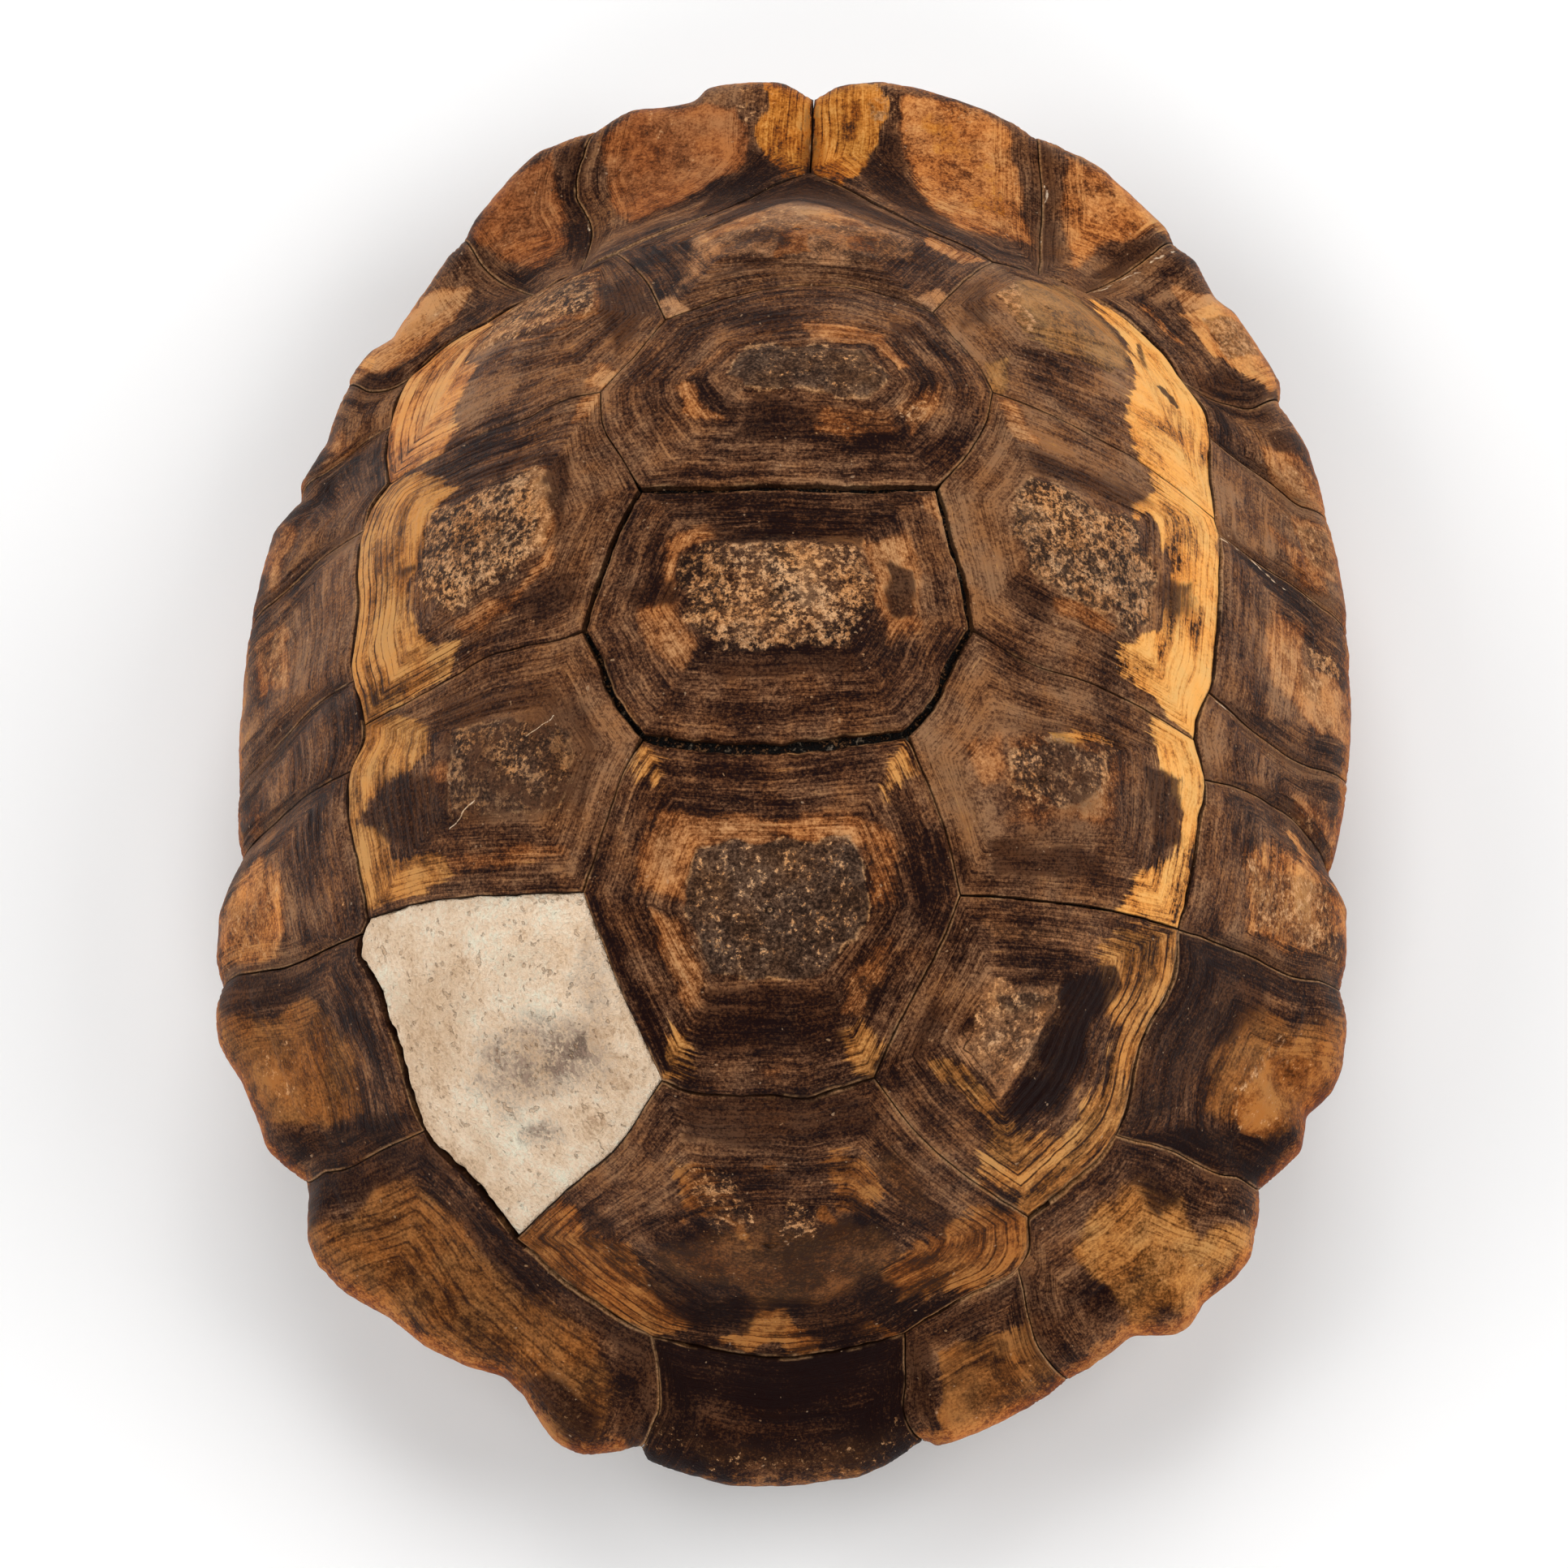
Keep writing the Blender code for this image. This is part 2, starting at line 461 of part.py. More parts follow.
def bone(home, tools, look):
    """The grown bone: a bowl under the back, joined through the bridges to the plastron."""
    segments = 50
    angles = (90 - np.arange(segments) * 360 / segments) % 360
    outside = (0.13, 0.26, 0.39, 0.5, 0.6, 0.68, 0.745, 0.8, 0.85, 0.905, RIM_ROUND, 1.0, 2 - RIM_ROUND, UNDER_END)
    rows = [skin([0.0], [0.0], [BED])]
    for share in outside:
        sunk = BED + 1.1 * (share > 1)
        rows.append(skin(angles, np.full(segments, share), np.full(segments, sunk), bone_edge))
    lip = skin(angles, np.full(segments, 0.84), np.full(segments, BED + WALL), bone_edge)
    side = skin(angles, np.full(segments, 0.93), np.full(segments, BED + WALL), bone_edge)
    bridge = bridge_part(angles)[:, None]
    free = 0.5 * (rows[-1] + lip)
    rows.append(side * bridge + free * (1 - bridge))
    rows.append(lip)
    for share in (0.77, 0.66, 0.52, 0.36, 0.18):
        rows.append(skin(angles, np.full(segments, share), np.full(segments, BED + WALL), bone_edge))
    rows.append(skin([0.0], [0.0], [BED + WALL]))
    bowl = round_piece("bone_shell", segments, rows, home, look)

    half = list(PLASTRON_BONE)
    outline = half + [(-x, y) for x, y in half[-2:0:-1]]
    outline = held_in(outline[::-1], 0.905)
    middle = np.array([0.0, 5.0])
    rows = []
    for reach, upper in (
        (0.0, 1), (0.4, 1), (0.7, 1), (0.9, 1), (1.0, 1), (1.0, 0), (0.9, 0), (0.7, 0), (0.4, 0), (0.0, 0),
    ):
        points = middle + reach * (outline - middle)
        points = points[:1] if reach == 0 else points
        share = share_of(points)[1]
        sunk = BED + 0.2 + 1.8 * np.clip((share - 0.86) / 0.045, 0, 1)
        rows.append(plate(points, sunk + (WALL - 0.6 * (reach == 1)) * upper))
    tray = round_piece("plastron_blank", len(outline), rows, tools, look)
    tray.hide_render = True
    tray.display_type = "WIRE"
    join = bowl.modifiers.new("Plastron", "BOOLEAN")
    join.operation = "UNION"
    join.solver = "EXACT"
    join.object = tray


def build():
    for old in list(bpy.data.objects):
        bpy.data.objects.remove(old, do_unlink=True)
    home = bpy.data.collections.new("Tortoise shell")
    tools = bpy.data.collections.new("Blanks")
    bpy.context.scene.collection.children.link(home)
    bpy.context.scene.collection.children.link(tools)
    tools.hide_render = True

    bone(home, tools, material("bone", (0.72, 0.66, 0.55), 0.6))
    for name, (seams, areola) in BACK_SCUTES.items():
        look = material(name, (0.17, 0.09, 0.045), 0.42)
        scute_from(name, inset(chain(seams), SEAM), areola, False, home, look)
    for i, name in enumerate(EDGE_SCUTES):
        look = material(name, (0.24, 0.12, 0.05), 0.4)
        edge_scute(name, EDGE_SEAMS[i], EDGE_SEAMS[(i + 1) % len(EDGE_SEAMS)], home, look)
    for name, half in PLASTRON.items():
        for side, sign in (("right", 1), ("left", -1)):
            look = material(f"{name}_{side}", (0.42, 0.28, 0.12), 0.45)
            outline = held_in(inset([(x * sign, y) for x, y in half], SEAM), 0.853)
            scute_from(f"{name}_scute_{side}", outline, outline.mean(axis=0), True, home, look)


build()
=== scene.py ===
import math

import bpy
import numpy as np
from mathutils import Matrix


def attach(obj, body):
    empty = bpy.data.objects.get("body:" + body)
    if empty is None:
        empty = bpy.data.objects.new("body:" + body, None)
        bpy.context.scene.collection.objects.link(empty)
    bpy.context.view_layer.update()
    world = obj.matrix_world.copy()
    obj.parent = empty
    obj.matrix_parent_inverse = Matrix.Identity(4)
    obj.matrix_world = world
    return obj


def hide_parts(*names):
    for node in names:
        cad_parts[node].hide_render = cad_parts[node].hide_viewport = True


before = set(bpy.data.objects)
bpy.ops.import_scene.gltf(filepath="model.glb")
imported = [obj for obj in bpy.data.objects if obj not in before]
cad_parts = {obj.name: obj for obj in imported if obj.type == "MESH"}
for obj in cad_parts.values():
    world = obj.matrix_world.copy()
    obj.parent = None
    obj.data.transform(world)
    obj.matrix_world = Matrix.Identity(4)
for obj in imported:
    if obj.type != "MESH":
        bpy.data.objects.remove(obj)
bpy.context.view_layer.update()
print("Tortoise shell: frame loaded")

# sizes of the whole shell, in mm and degrees; a share is a part of the way from the middle to the edge
shell = {
    "crown": 66.4,  # height of the back
    "rimHalf": 3.0,  # half the thickness of the free edge
    "rimRound": 0.955,  # share from which the edge turns under
    "rimBlend": 0.78,  # share from which the scalloped edge takes over from the even outline
    "underEnd": 1.13,  # how far the horn runs on under the edge
    "keelStart": 0.5,  # share from which the underside rises to the rim
    "bridge": (41, 103, 15),  # degrees from the front where the bridges start and end, and over how many
    "centreY": -6.0,  # the middle that the angles go round
    "frameShift": (0.0, -0.8, 0.0),  # from these places to the CAD's
}
# the back's height from the crown, 1, to the rim, 0, by share: to the front, the side and the rear
heightFront = ((0, 1), (0.25, 0.925), (0.59, 0.63), (0.715, 0.41), (0.80, 0.16), (0.87, 0.045), (1, 0))
heightSide = ((0, 1), (0.35, 0.91), (0.60, 0.68), (0.77, 0.43), (0.90, 0.18), (1, 0))
heightRear = ((0, 1), (0.15, 0.995), (0.40, 0.93), (0.62, 0.77), (0.75, 0.48), (0.84, 0.18), (1, 0))
# how far the free rim's underside rises inwards, mm by share
eave = ((0.70, 5.5), (0.80, 3.5), (0.87, 2.0), (0.93, 0.8), (1, 0))
# the rim's height by angle, the even outline at even angles, and the scalloped edge
rimHeight = (
    (0, 22), (35, 18), (60, 15), (90, 15), (120, 14), (150, 14.5), (180, 15),
    (210, 14.5), (240, 14), (270, 15), (300, 15), (325, 18), (360, 22),
)
roundOutline = (
    79.5, 79, 75, 69.5, 64, 59, 56.5, 58, 60, 62.5, 63, 64.5,
    66, 65, 63, 61.5, 60, 58, 56, 57.5, 61, 65.5, 71.5, 77.5,
)
edgePoints = (
    (2, 72), (4.5, 73.5), (9, 74), (14, 73), (20, 71), (24.5, 68.5), (31, 65.5), (36.5, 60.5),
    (38.5, 58.5), (39, 57), (41, 55.5), (43, 51.5), (45, 50), (48, 45.5), (50, 42), (49.5, 40.5),
    (52.5, 35.5), (54.5, 28), (56, 20), (56.5, 12), (56.5, 5), (56, -2), (54.5, -9), (54.5, -10),
    (56, -13), (56, -18), (55.5, -21.5), (56, -25), (55.5, -29.5), (54.5, -32), (52, -34.5), (51.5, -38),
    (49.5, -40), (47.5, -42), (47, -46), (46.5, -49), (45, -51), (42, -53.5), (40.5, -56), (39, -57),
    (35, -57), (32.5, -59), (29, -61.5), (25.5, -64), (20, -67), (16, -68.5), (14.5, -68), (11.5, -70),
    (8.5, -71.5), (1, -72.5), (-4, -72.5), (-9.5, -71), (-12.5, -70), (-13, -68.5), (-15, -69),
    (-18.5, -69.5), (-20, -69), (-22, -67.5), (-24.5, -63.5), (-26.5, -61.5), (-30, -60.5), (-35, -58),
    (-38, -55.5), (-42.5, -53), (-45.5, -50), (-46.5, -47.5), (-46.5, -43), (-47, -41.5), (-49.5, -39.5),
    (-51, -38), (-51.5, -36), (-53.5, -31.5), (-56, -27.5), (-56.5, -24), (-56, -21.5), (-56.5, -19),
    (-56.5, -14), (-55.5, -11), (-54.5, -8.5), (-55, 1), (-55, 10), (-54, 20.5), (-52.5, 27), (-50, 30),
    (-50, 32), (-47.5, 36), (-45.5, 42), (-45, 43.5), (-43, 46), (-41, 47), (-37.5, 52.5), (-35, 56.5),
    (-34, 57.5), (-33, 59.5), (-29, 64.5), (-26.5, 67), (-20, 69.5), (-16.5, 71.5), (-13.5, 71.5),
    (-10.5, 72), (-9.5, 72.5), (-9.5, 73.5), (-6.5, 74), (-1.5, 74),
)

# Seams of the back in plan: v vertebral, c costal, m marginal, s over the tail, r right, l left
seams = {
    "v1_v2": ((-10.5, 34), (-8, 35), (-4, 36.5), (0, 37.5), (4, 38), (7.5, 38), (11.5, 37), (15.5, 35.5)),
    "v2_v3": ((-12, 13), (-7, 12.5), (1, 12.5), (8.5, 12.5), (16.5, 13.5)),
    "v3_v4": ((-11, -13.5), (-6.5, -14.5), (1.5, -15), (9, -14), (14, -13)),
    "v4_v5": ((-9, -44.5), (-6.5, -45.5), (-2.5, -46), (1, -46), (5, -46), (8, -45), (11, -44)),
    "v1_c1r": ((21, 46), (18, 40.5), (15.5, 35.5)),
    "v2_c1r": ((15.5, 35.5), (18, 32), (20.5, 28.5), (21.5, 26)),
    "v2_c2r": ((21.5, 26), (21, 22.5), (19, 17.5), (16.5, 13.5)),
    "v3_c2r": ((16.5, 13.5), (17.5, 9), (19, 3.5), (20, -1.5)),
    "v3_c3r": ((20, -1.5), (18, -5.5), (16.5, -9.5), (14, -13)),
    "v4_c3r": ((14, -13), (16, -17.5), (17.5, -21.5), (19, -27.5)),
    "v4_c4r": ((19, -27.5), (17.5, -31.5), (15, -36.5), (12.5, -41), (11, -44)),
    "v5_c4r": ((11, -44), (15, -47.5), (20, -49.5), (25, -50.5)),
    "v1_c1l": ((-16.5, 47), (-12.5, 39.5), (-10.5, 34)),
    "v2_c1l": ((-10.5, 34), (-13, 30), (-16.5, 25.5)),
    "v2_c2l": ((-16.5, 25.5), (-16, 21), (-14, 17), (-12, 13)),
    "v3_c2l": ((-12, 13), (-14, 8.5), (-15.5, 3.5), (-17, -2)),
    "v3_c3l": ((-17, -2), (-15.5, -5), (-14, -9), (-11, -13.5)),
    "v4_c3l": ((-11, -13.5), (-13, -17.5), (-14.5, -22), (-16.5, -27.5)),
    "v4_c4l": ((-16.5, -27.5), (-15, -31.5), (-13.5, -35.5), (-11, -40.5), (-9, -44.5)),
    "v5_c4l": ((-9, -44.5), (-13.5, -48.5), (-19, -50.5), (-24.5, -52)),
    "c1_c2r": ((21.5, 26), (25, 25.5), (29, 24.5), (33, 23.5), (37, 22.5), (40, 21.5), (43, 20.5)),
    "c2_c3r": ((20, -1.5), (24.5, -3.5), (31.5, -4), (35.5, -4.5), (41, -5.5)),
    "c3_c4r": ((19, -27.5), (27, -26.5), (35.5, -25), (39.5, -24.5)),
    "c1_c2l": ((-16.5, 25.5), (-19.5, 25.5), (-24, 24.5), (-28, 24.5), (-33, 24), (-39, 24.5)),
    "c2_c3l": ((-17, -2), (-19, -2.5), (-23, -2.5), (-26.5, -2.5), (-30, -3.5), (-33, -4), (-39.5, -4.5)),
    "c3_c4l": ((-16.5, -27.5), (-24, -26.5), (-29, -25.5), (-34.5, -24.5), (-38.5, -24)),
    "v1_mr": ((2, 61.5), (6.5, 58), (11, 53), (15, 49), (18.5, 47.5), (21, 46)),
    "c1r_m": ((21, 46), (24, 47), (25.5, 47.5), (30, 47), (33.5, 45), (36, 43), (38.5, 40.5), (40, 38),
              (42, 35), (42.5, 31.5), (42.5, 26), (43, 20.5)),
    "c2r_m": ((43, 20.5), (43.5, 19), (43.5, 14.5), (43.5, 10), (43, 5), (42.5, 0), (41.5, -2.5),
              (41, -5.5)),
    "c3r_m": ((41, -5.5), (42, -9), (41.5, -13.5), (41, -17.5), (39.5, -24.5)),
    "c4r_m": ((39.5, -24.5), (39, -28.5), (36, -35), (33.5, -43), (29, -47.5), (25, -50.5)),
    "v5_mr": ((25, -50.5), (25, -52.5), (24, -54), (19.5, -56.5), (13, -60)),
    "v5_s": ((13, -60), (8, -61.5), (0, -62.5), (-7.5, -61.5), (-11.5, -60.5)),
    "v5_ml": ((-11.5, -60.5), (-15.5, -58.5), (-19.5, -56), (-22.5, -53.5), (-24.5, -52)),
    "c4l_m": ((-24.5, -52), (-29, -47), (-33.5, -42.5), (-35.5, -36.5), (-37.5, -31), (-39.5, -25),
              (-38.5, -24)),
    "c3l_m": ((-38.5, -24), (-39.5, -19), (-41, -12.5), (-41, -8.5), (-39.5, -6), (-39.5, -4.5)),
    "c2l_m": ((-39.5, -4.5), (-40, -2), (-41, 1), (-41, 9.5), (-41.5, 14.5), (-41.5, 20), (-40.5, 23),
              (-39, 24.5)),
    "c1l_m": ((-39, 24.5), (-40, 30), (-40, 34), (-39.5, 37), (-38.5, 40), (-37, 41.5), (-34, 43.5),
              (-30.5, 44.5), (-25.5, 46.5), (-20.5, 47), (-16.5, 47)),
    "v1_ml": ((-16.5, 47), (-12, 49.5), (-8, 52), (-4.5, 56), (-1, 59.5), (2, 61.5)),
}
ringSeams = (
    "v1_mr", "c1r_m", "c2r_m", "c3r_m", "c4r_m", "v5_mr", "v5_s", "v5_ml", "c4l_m", "c3l_m", "c2l_m",
    "c1l_m", "v1_ml",
)
# Seams between the marginals, from the ring to the edge, clockwise from the notch at the front
edgeSeams = (
    ((2, 61.5), (2, 66.5), (2, 72)),
    ((25.5, 47.5), (25.5, 54.5), (25.5, 61.5), (24.5, 68.5)),
    ((30, 47), (35, 52.5), (39, 57)),
    ((40, 38), (43.5, 37), (46.5, 37.5), (49.5, 40.5)),
    ((42.5, 31.5), (45.5, 30), (48.5, 29), (51.5, 27.5), (54.5, 28)),
    ((43.5, 19), (46.5, 18), (50, 17.5), (56, 15.5)),
    ((42.5, 0), (47, -1.5), (52, -1.5), (56, 0)),
    ((42, -9), (48, -7.5), (51, -7.5), (54.5, -10)),
    ((39.5, -24.5), (47, -23.5), (51, -23.5), (55.5, -21.5)),
    ((33.5, -43), (39, -42.5), (43, -43), (47.5, -42)),
    ((24, -54), (25, -57.5), (26, -60), (28.5, -61.5)),
    ((13, -60), (13, -63.5), (13, -66.5), (14.5, -68)),
    ((-11.5, -60.5), (-11, -63.5), (-11, -66.5), (-13, -68.5)),
    ((-33.5, -42.5), (-38, -42.5), (-42, -43), (-47, -41.5)),
    ((-39.5, -25), (-43.5, -24.5), (-48, -24), (-56, -21.5)),
    ((-41, -8.5), (-47.5, -8), (-51, -8), (-54.5, -8.5)),
    ((-41, 1), (-44.5, 1), (-50, 0), (-55, -1.5)),
    ((-41.5, 20), (-46, 19.5), (-50.5, 17.5), (-54.5, 16)),
    ((-40, 34), (-42.5, 33.5), (-46, 31.5), (-50, 30)),
    ((-38.5, 40), (-39.5, 39.5), (-42, 39.5), (-45.5, 42)),
    ((-25.5, 46.5), (-31, 52.5), (-34, 57.5)),
    ((-20.5, 47), (-20.5, 57), (-22, 60.5), (-20, 69.5)),
)
# half the width of each seam that gapes, in mm; the others are tight
seamGap = {
    "v2_v3": 0.36, "v3_v4": 0.50, "v3_c2r": 0.28, "v3_c3r": 0.34, "v3_c2l": 0.24, "v3_c3l": 0.28,
    "c2r_m": 0.08, "c3r_m": 0.08, "c3_c4r": 0.09, "v4_v5": 0.07,
}
# how light the worn horn is along each seam
seamRim = {
    "c4r_m": 0.9, "v1_c1r": 0.7, "v1_c1l": 0.6, "v5_c4r": 0.8, "v2_c2r": 0.6, "c1_c2r": 0.4, "c2_c3r": 0.6,
    "v2_c1l": 0.5, "v3_c2r": 0.6, "v4_c4r": 0.5, "v5_mr": 0.9, "v2_v3": 0.3, "v3_v4": 0.3,
}
usualGap = 0.035
usualRim = 0.4
# the same for the seams between the marginals
edgeRim = (
    0.2, 0.8, 1.0, 0.6, 0.6, 0.9, 0.6, 0.5, 0.7, 1.0, 0.9, 0.4, 0.9, 0.6, 0.5, 0.4, 0.4, 0.5, 0.5, 0.5,
    0.7, 0.9,
)
# right halves of the plastron's scutes and of its bone
plastronHalf = {
    "gular": ((0.0, 62), (6, 62.5), (11.5, 61), (15, 57.5), (7.5, 52.5), (0.0, 49)),
    "humeral": ((0.0, 49), (7.5, 52.5), (15, 57.5), (22, 56), (28, 49.5), (31, 40), (35, 33.5), (20, 31.5),
                (0.0, 33)),
    "pectoral": ((0.0, 33), (20, 31.5), (35, 33.5), (41, 31), (46.5, 27), (47.5, 20), (38, 21.5), (30, 23),
                 (0.0, 25)),
    "abdominal": ((0.0, 25), (30, 23), (38, 21.5), (47.5, 20), (48.5, 12), (48.5, 2), (47, -6.5), (41, -12),
                  (35, -14.5), (15, -13), (0.0, -14)),
    "femoral": ((0.0, -14), (15, -13), (35, -14.5), (32.5, -25), (30.5, -35), (26, -42), (14, -37),
                (0.0, -35)),
    "anal": ((0.0, -35), (14, -37), (26, -42), (20, -49.5), (12, -53), (6, -51.5), (0.0, -47.5)),
}
plastronBone = (
    (0.0, 61.6), (6, 62.1), (11.5, 60.6), (22, 55.6), (27.6, 49.3), (30.6, 40), (35, 32.8), (42, 31.5),
    (49, 27), (50.5, 18), (51, 8), (50.8, 0), (49, -7.5), (41.5, -12.6), (34.6, -15.2), (32.1, -25),
    (30.1, -35), (25.6, -42), (19.8, -49), (12, -52.5), (6, -51), (0.0, -47),
)


def hashed(cells, seed):
    # a number from 0 to 1 for each whole-number cell, always the same for the same cell
    total = np.full(cells.shape[:-1], seed * 374761393 + 1442695041, np.int64)
    for axis, factor in zip(range(cells.shape[-1]), (374761393, 668265263, 2147483589, 1274126177)):
        total = total + cells[..., axis] * factor
        total = (total ^ (total >> 13)) * 1274126177 & 0x7FFFFFFF
    total = (total ^ (total >> 15)) * 668265263 & 0x7FFFFFFF
    total = total ^ (total >> 16)
    return (total & 0xFFFFF) / 0xFFFFF


def noise(points, size, seed=0, octaves=1):
    # smooth noise from -1 to 1 with lumps of about `size` mm, each octave half as wide and half as high
    points = np.asarray(points, float)
    total, weight = 0.0, 0.0
    for octave in range(octaves):
        place = points * (2**octave / size) + 17.3 * octave
        whole = np.floor(place).astype(np.int64)
        part = place - whole
        part = part * part * part * (part * (part * 6 - 15) + 10)
        value = 0.0
        for corner in range(2 ** points.shape[-1]):
            step = np.array([(corner >> axis) & 1 for axis in range(points.shape[-1])])
            share = np.prod(np.where(step, part, 1 - part), axis=-1)
            value = value + share * hashed(whole + step, seed + octave * 7)
        total = total + (value * 2 - 1) * 0.5**octave
        weight += 0.5**octave
    return total / weight


def wander(points, size, seed, octaves, reach):
    # a shift in x and in y for each point, up to `reach`
    return np.stack([noise(points, size, seed + k, octaves) for k in (0, 1)], axis=-1) * reach


def ringNoise(points, growth, wide, rings, seed, octaves):
    # noise drawn out along the growth rings: it changes fast with growth and slowly with place
    return noise(np.concatenate([points * wide, growth[..., None] * rings], axis=-1), 1.0, seed, octaves)


def easeIn(low, high, value):
    # 0 below low, 1 above high, smooth between them
    part = np.clip((value - low) / (high - low), 0, 1)
    return part * part * (3 - 2 * part)


def cubic(start, end, startSlope, endSlope, t, step):
    # the curve from start to end with those slopes, t from 0 to 1 over the step
    line = start * (1 + 2 * t) * (1 - t) ** 2 + startSlope * step * t * (1 - t) ** 2
    return line + end * t * t * (3 - 2 * t) + endSlope * step * t * t * (t - 1)


def curve(table, x):
    # a smooth curve through a short table of (position, value), level at its first point
    at, value = np.asarray(table, float).T
    slope = np.gradient(value, at)
    slope[0] = 0
    i = np.clip(np.searchsorted(at, x, side="right") - 1, 0, len(at) - 2)
    step = at[i + 1] - at[i]
    return cubic(value[i], value[i + 1], slope[i], slope[i + 1], np.clip((x - at[i]) / step, 0, 1), step)


def bellOf(width):
    # a bell of weights that add up to 1, and how many samples it reaches to each side
    reach = int(3 * width) + 1
    bell = np.exp(-0.5 * (np.arange(-reach, reach + 1) / width) ** 2)
    return bell / bell.sum(), reach


def blurred(values, width):
    # a closed ring of samples, averaged under a bell of that width in samples
    bell, reach = bellOf(width)
    return np.convolve(np.pad(values, reach, mode="wrap"), bell, "valid")


fineShares = np.linspace(0, 1, 2001)
fineAngles = np.arange(0, 360, 0.1)


def fineProfile(table, width=24):
    # the height curve, mirrored about the crown and carried on past the edge, then blurred
    height = curve(table, fineShares)
    bell, reach = bellOf(width)
    padded = np.concatenate([height[reach:0:-1], height, 2 * height[-1] - height[-2:-reach - 2:-1]])
    return np.convolve(padded, bell, "valid")


profileFront, profileSide, profileRear = (fineProfile(t) for t in (heightFront, heightSide, heightRear))
fineEave = curve(eave, fineShares)


def polar(points):
    # degrees from the head end, clockwise from above, and distance from the middle of the back
    x, y = np.asarray(points, float)[..., 0], np.asarray(points, float)[..., 1]
    return np.degrees(np.arctan2(x, y - shell["centreY"])) % 360, np.hypot(x, y - shell["centreY"])


def inPlan(angle, distance):
    # the point at that angle and distance, seen from above
    turned = np.radians(angle)
    return np.stack([distance * np.sin(turned), shell["centreY"] + distance * np.cos(turned)], axis=-1)


def around(points):
    # the outline's distance from the middle at each fine angle
    angle, distance = polar(points)
    order = np.argsort(angle)
    angle, distance = angle[order], distance[order]
    at = np.concatenate([angle[-1:] - 360, angle, angle[:1] + 360])
    return np.interp(fineAngles, at, np.concatenate([distance[-1:], distance, distance[:1]]))


def atAngle(table, angle):
    # reads a table of fine angles, going round without a step
    place = (angle % 360) * 10
    whole = np.floor(place).astype(int)
    part = place - whole
    return table[whole % 3600] * (1 - part) + table[(whole + 1) % 3600] * part


def roundTable():
    # the even outline at each fine angle, half eased and half straight between its points
    place = fineAngles / (360 / len(roundOutline))
    i = place.astype(int) % len(roundOutline)
    part = place - np.floor(place)
    part = part * part * (3 - 2 * part) * 0.5 + part * 0.5
    table = np.asarray(roundOutline, float)
    return blurred(table[i] * (1 - part) + table[(i + 1) % len(table)] * part, 30)


edgeWorn = blurred(around(edgePoints), 3.5)
edgeRing = inPlan(fineAngles, edgeWorn)
edgeTable = edgeWorn + 0.10 * noise(edgeRing, 2.6, 3, 2) + 0.05 * noise(edgeRing, 0.8, 4, 2)
outlineTable = roundTable()
rimTable = blurred(curve(rimHeight, fineAngles), 40)
# the bone's edge stays 0.8 mm inside the horn's, also beside the horn's notches
boneTable = np.min([np.roll(edgeWorn, s * 10) + 0.06 * abs(s) for s in range(-8, 9)], axis=0)
boneTable = blurred(boneTable - 0.8, 6)


def radius(angle, share, edge):
    # the even outline on the dome, turning into the scalloped edge at the rim
    part = easeIn(shell["rimBlend"], 1, share)
    return atAngle(outlineTable, angle) * (1 - part) + atAngle(edge, angle) * part


def shareOf(points):
    # the angle and the share at which the shell has these points in plan, found in steps
    angle, distance = polar(points)
    share = distance / atAngle(outlineTable, angle)
    for _ in range(8):
        share = distance / radius(angle, share, edgeTable)
    return angle, share


def bridgePart(angle):
    # 1 where the flanks join the plastron, 0 along the free rim
    side = np.minimum(angle % 360, 360 - angle % 360)
    start, end, fade = shell["bridge"]
    return easeIn(0, 1, np.minimum(np.clip((side - start) / fade, 0, 1), np.clip((end - side) / fade, 0, 1)))


def keel(share):
    # how far the underside has risen to the rim: the fourth power of the way from keelStart to the rim
    start = shell["keelStart"]
    return np.clip((share - start) / (shell["rimRound"] - start), 0, 1) ** 4


def onSkin(angle, share, edge):
    # the outside: the height falls from the crown to the rim as the profile does, then turns under in half
    # a circle
    rimRound, rimHalf = shell["rimRound"], shell["rimHalf"]
    turn = np.clip((share - rimRound) / (1 - rimRound), 0, 2) * math.pi / 2
    turning = (share > rimRound) & (share < 2 - rimRound)
    inward = np.where(share > 1, 2 - share, share)
    part = np.where(turning, rimRound + (1 - rimRound) * np.sin(turn), inward)
    fore = np.cos(np.radians(angle))
    front, rear = np.where(fore > 0, fore**2, 0), np.where(fore > 0, 0, fore**2)
    shares = (front, profileFront), (rear, profileRear), (1 - fore**2, profileSide)
    height = sum(weight * np.interp(part, fineShares, profile) for weight, profile in shares)
    rim = atAngle(rimTable, angle)
    above = rim + (shell["crown"] - rimHalf - rim) * height
    joined = rimHalf + (rim - rimHalf) * keel(part)
    free = rim + np.interp(part, fineShares, fineEave)
    bridge = bridgePart(angle)
    middle = np.where(share > 1, bridge * joined + (1 - bridge) * free, above)
    plan = inPlan(angle, part * radius(angle, part, edge))
    return np.concatenate([plan, (middle + rimHalf * np.cos(turn))[..., None]], axis=-1)


def unit(vectors):
    # the same directions, each 1 long
    return vectors / np.linalg.norm(vectors, axis=-1, keepdims=True)


def skin(angle, share, depth, edge=edgeTable):
    # a point `depth` under the outside of the shell, along its normal
    at = np.maximum(share, 0.02)
    aroundIt = onSkin(angle + 0.4, at, edge) - onSkin(angle - 0.4, at, edge)
    along = onSkin(angle, at + 0.004, edge) - onSkin(angle, at - 0.004, edge)
    return onSkin(angle, share, edge) - unit(np.cross(aroundIt, along)) * np.asarray(depth, float)[..., None]


def skinAt(plan, depth):
    # the same, from places in plan
    angle, share = shareOf(plan)
    return skin(angle, share, np.broadcast_to(depth, angle.shape))


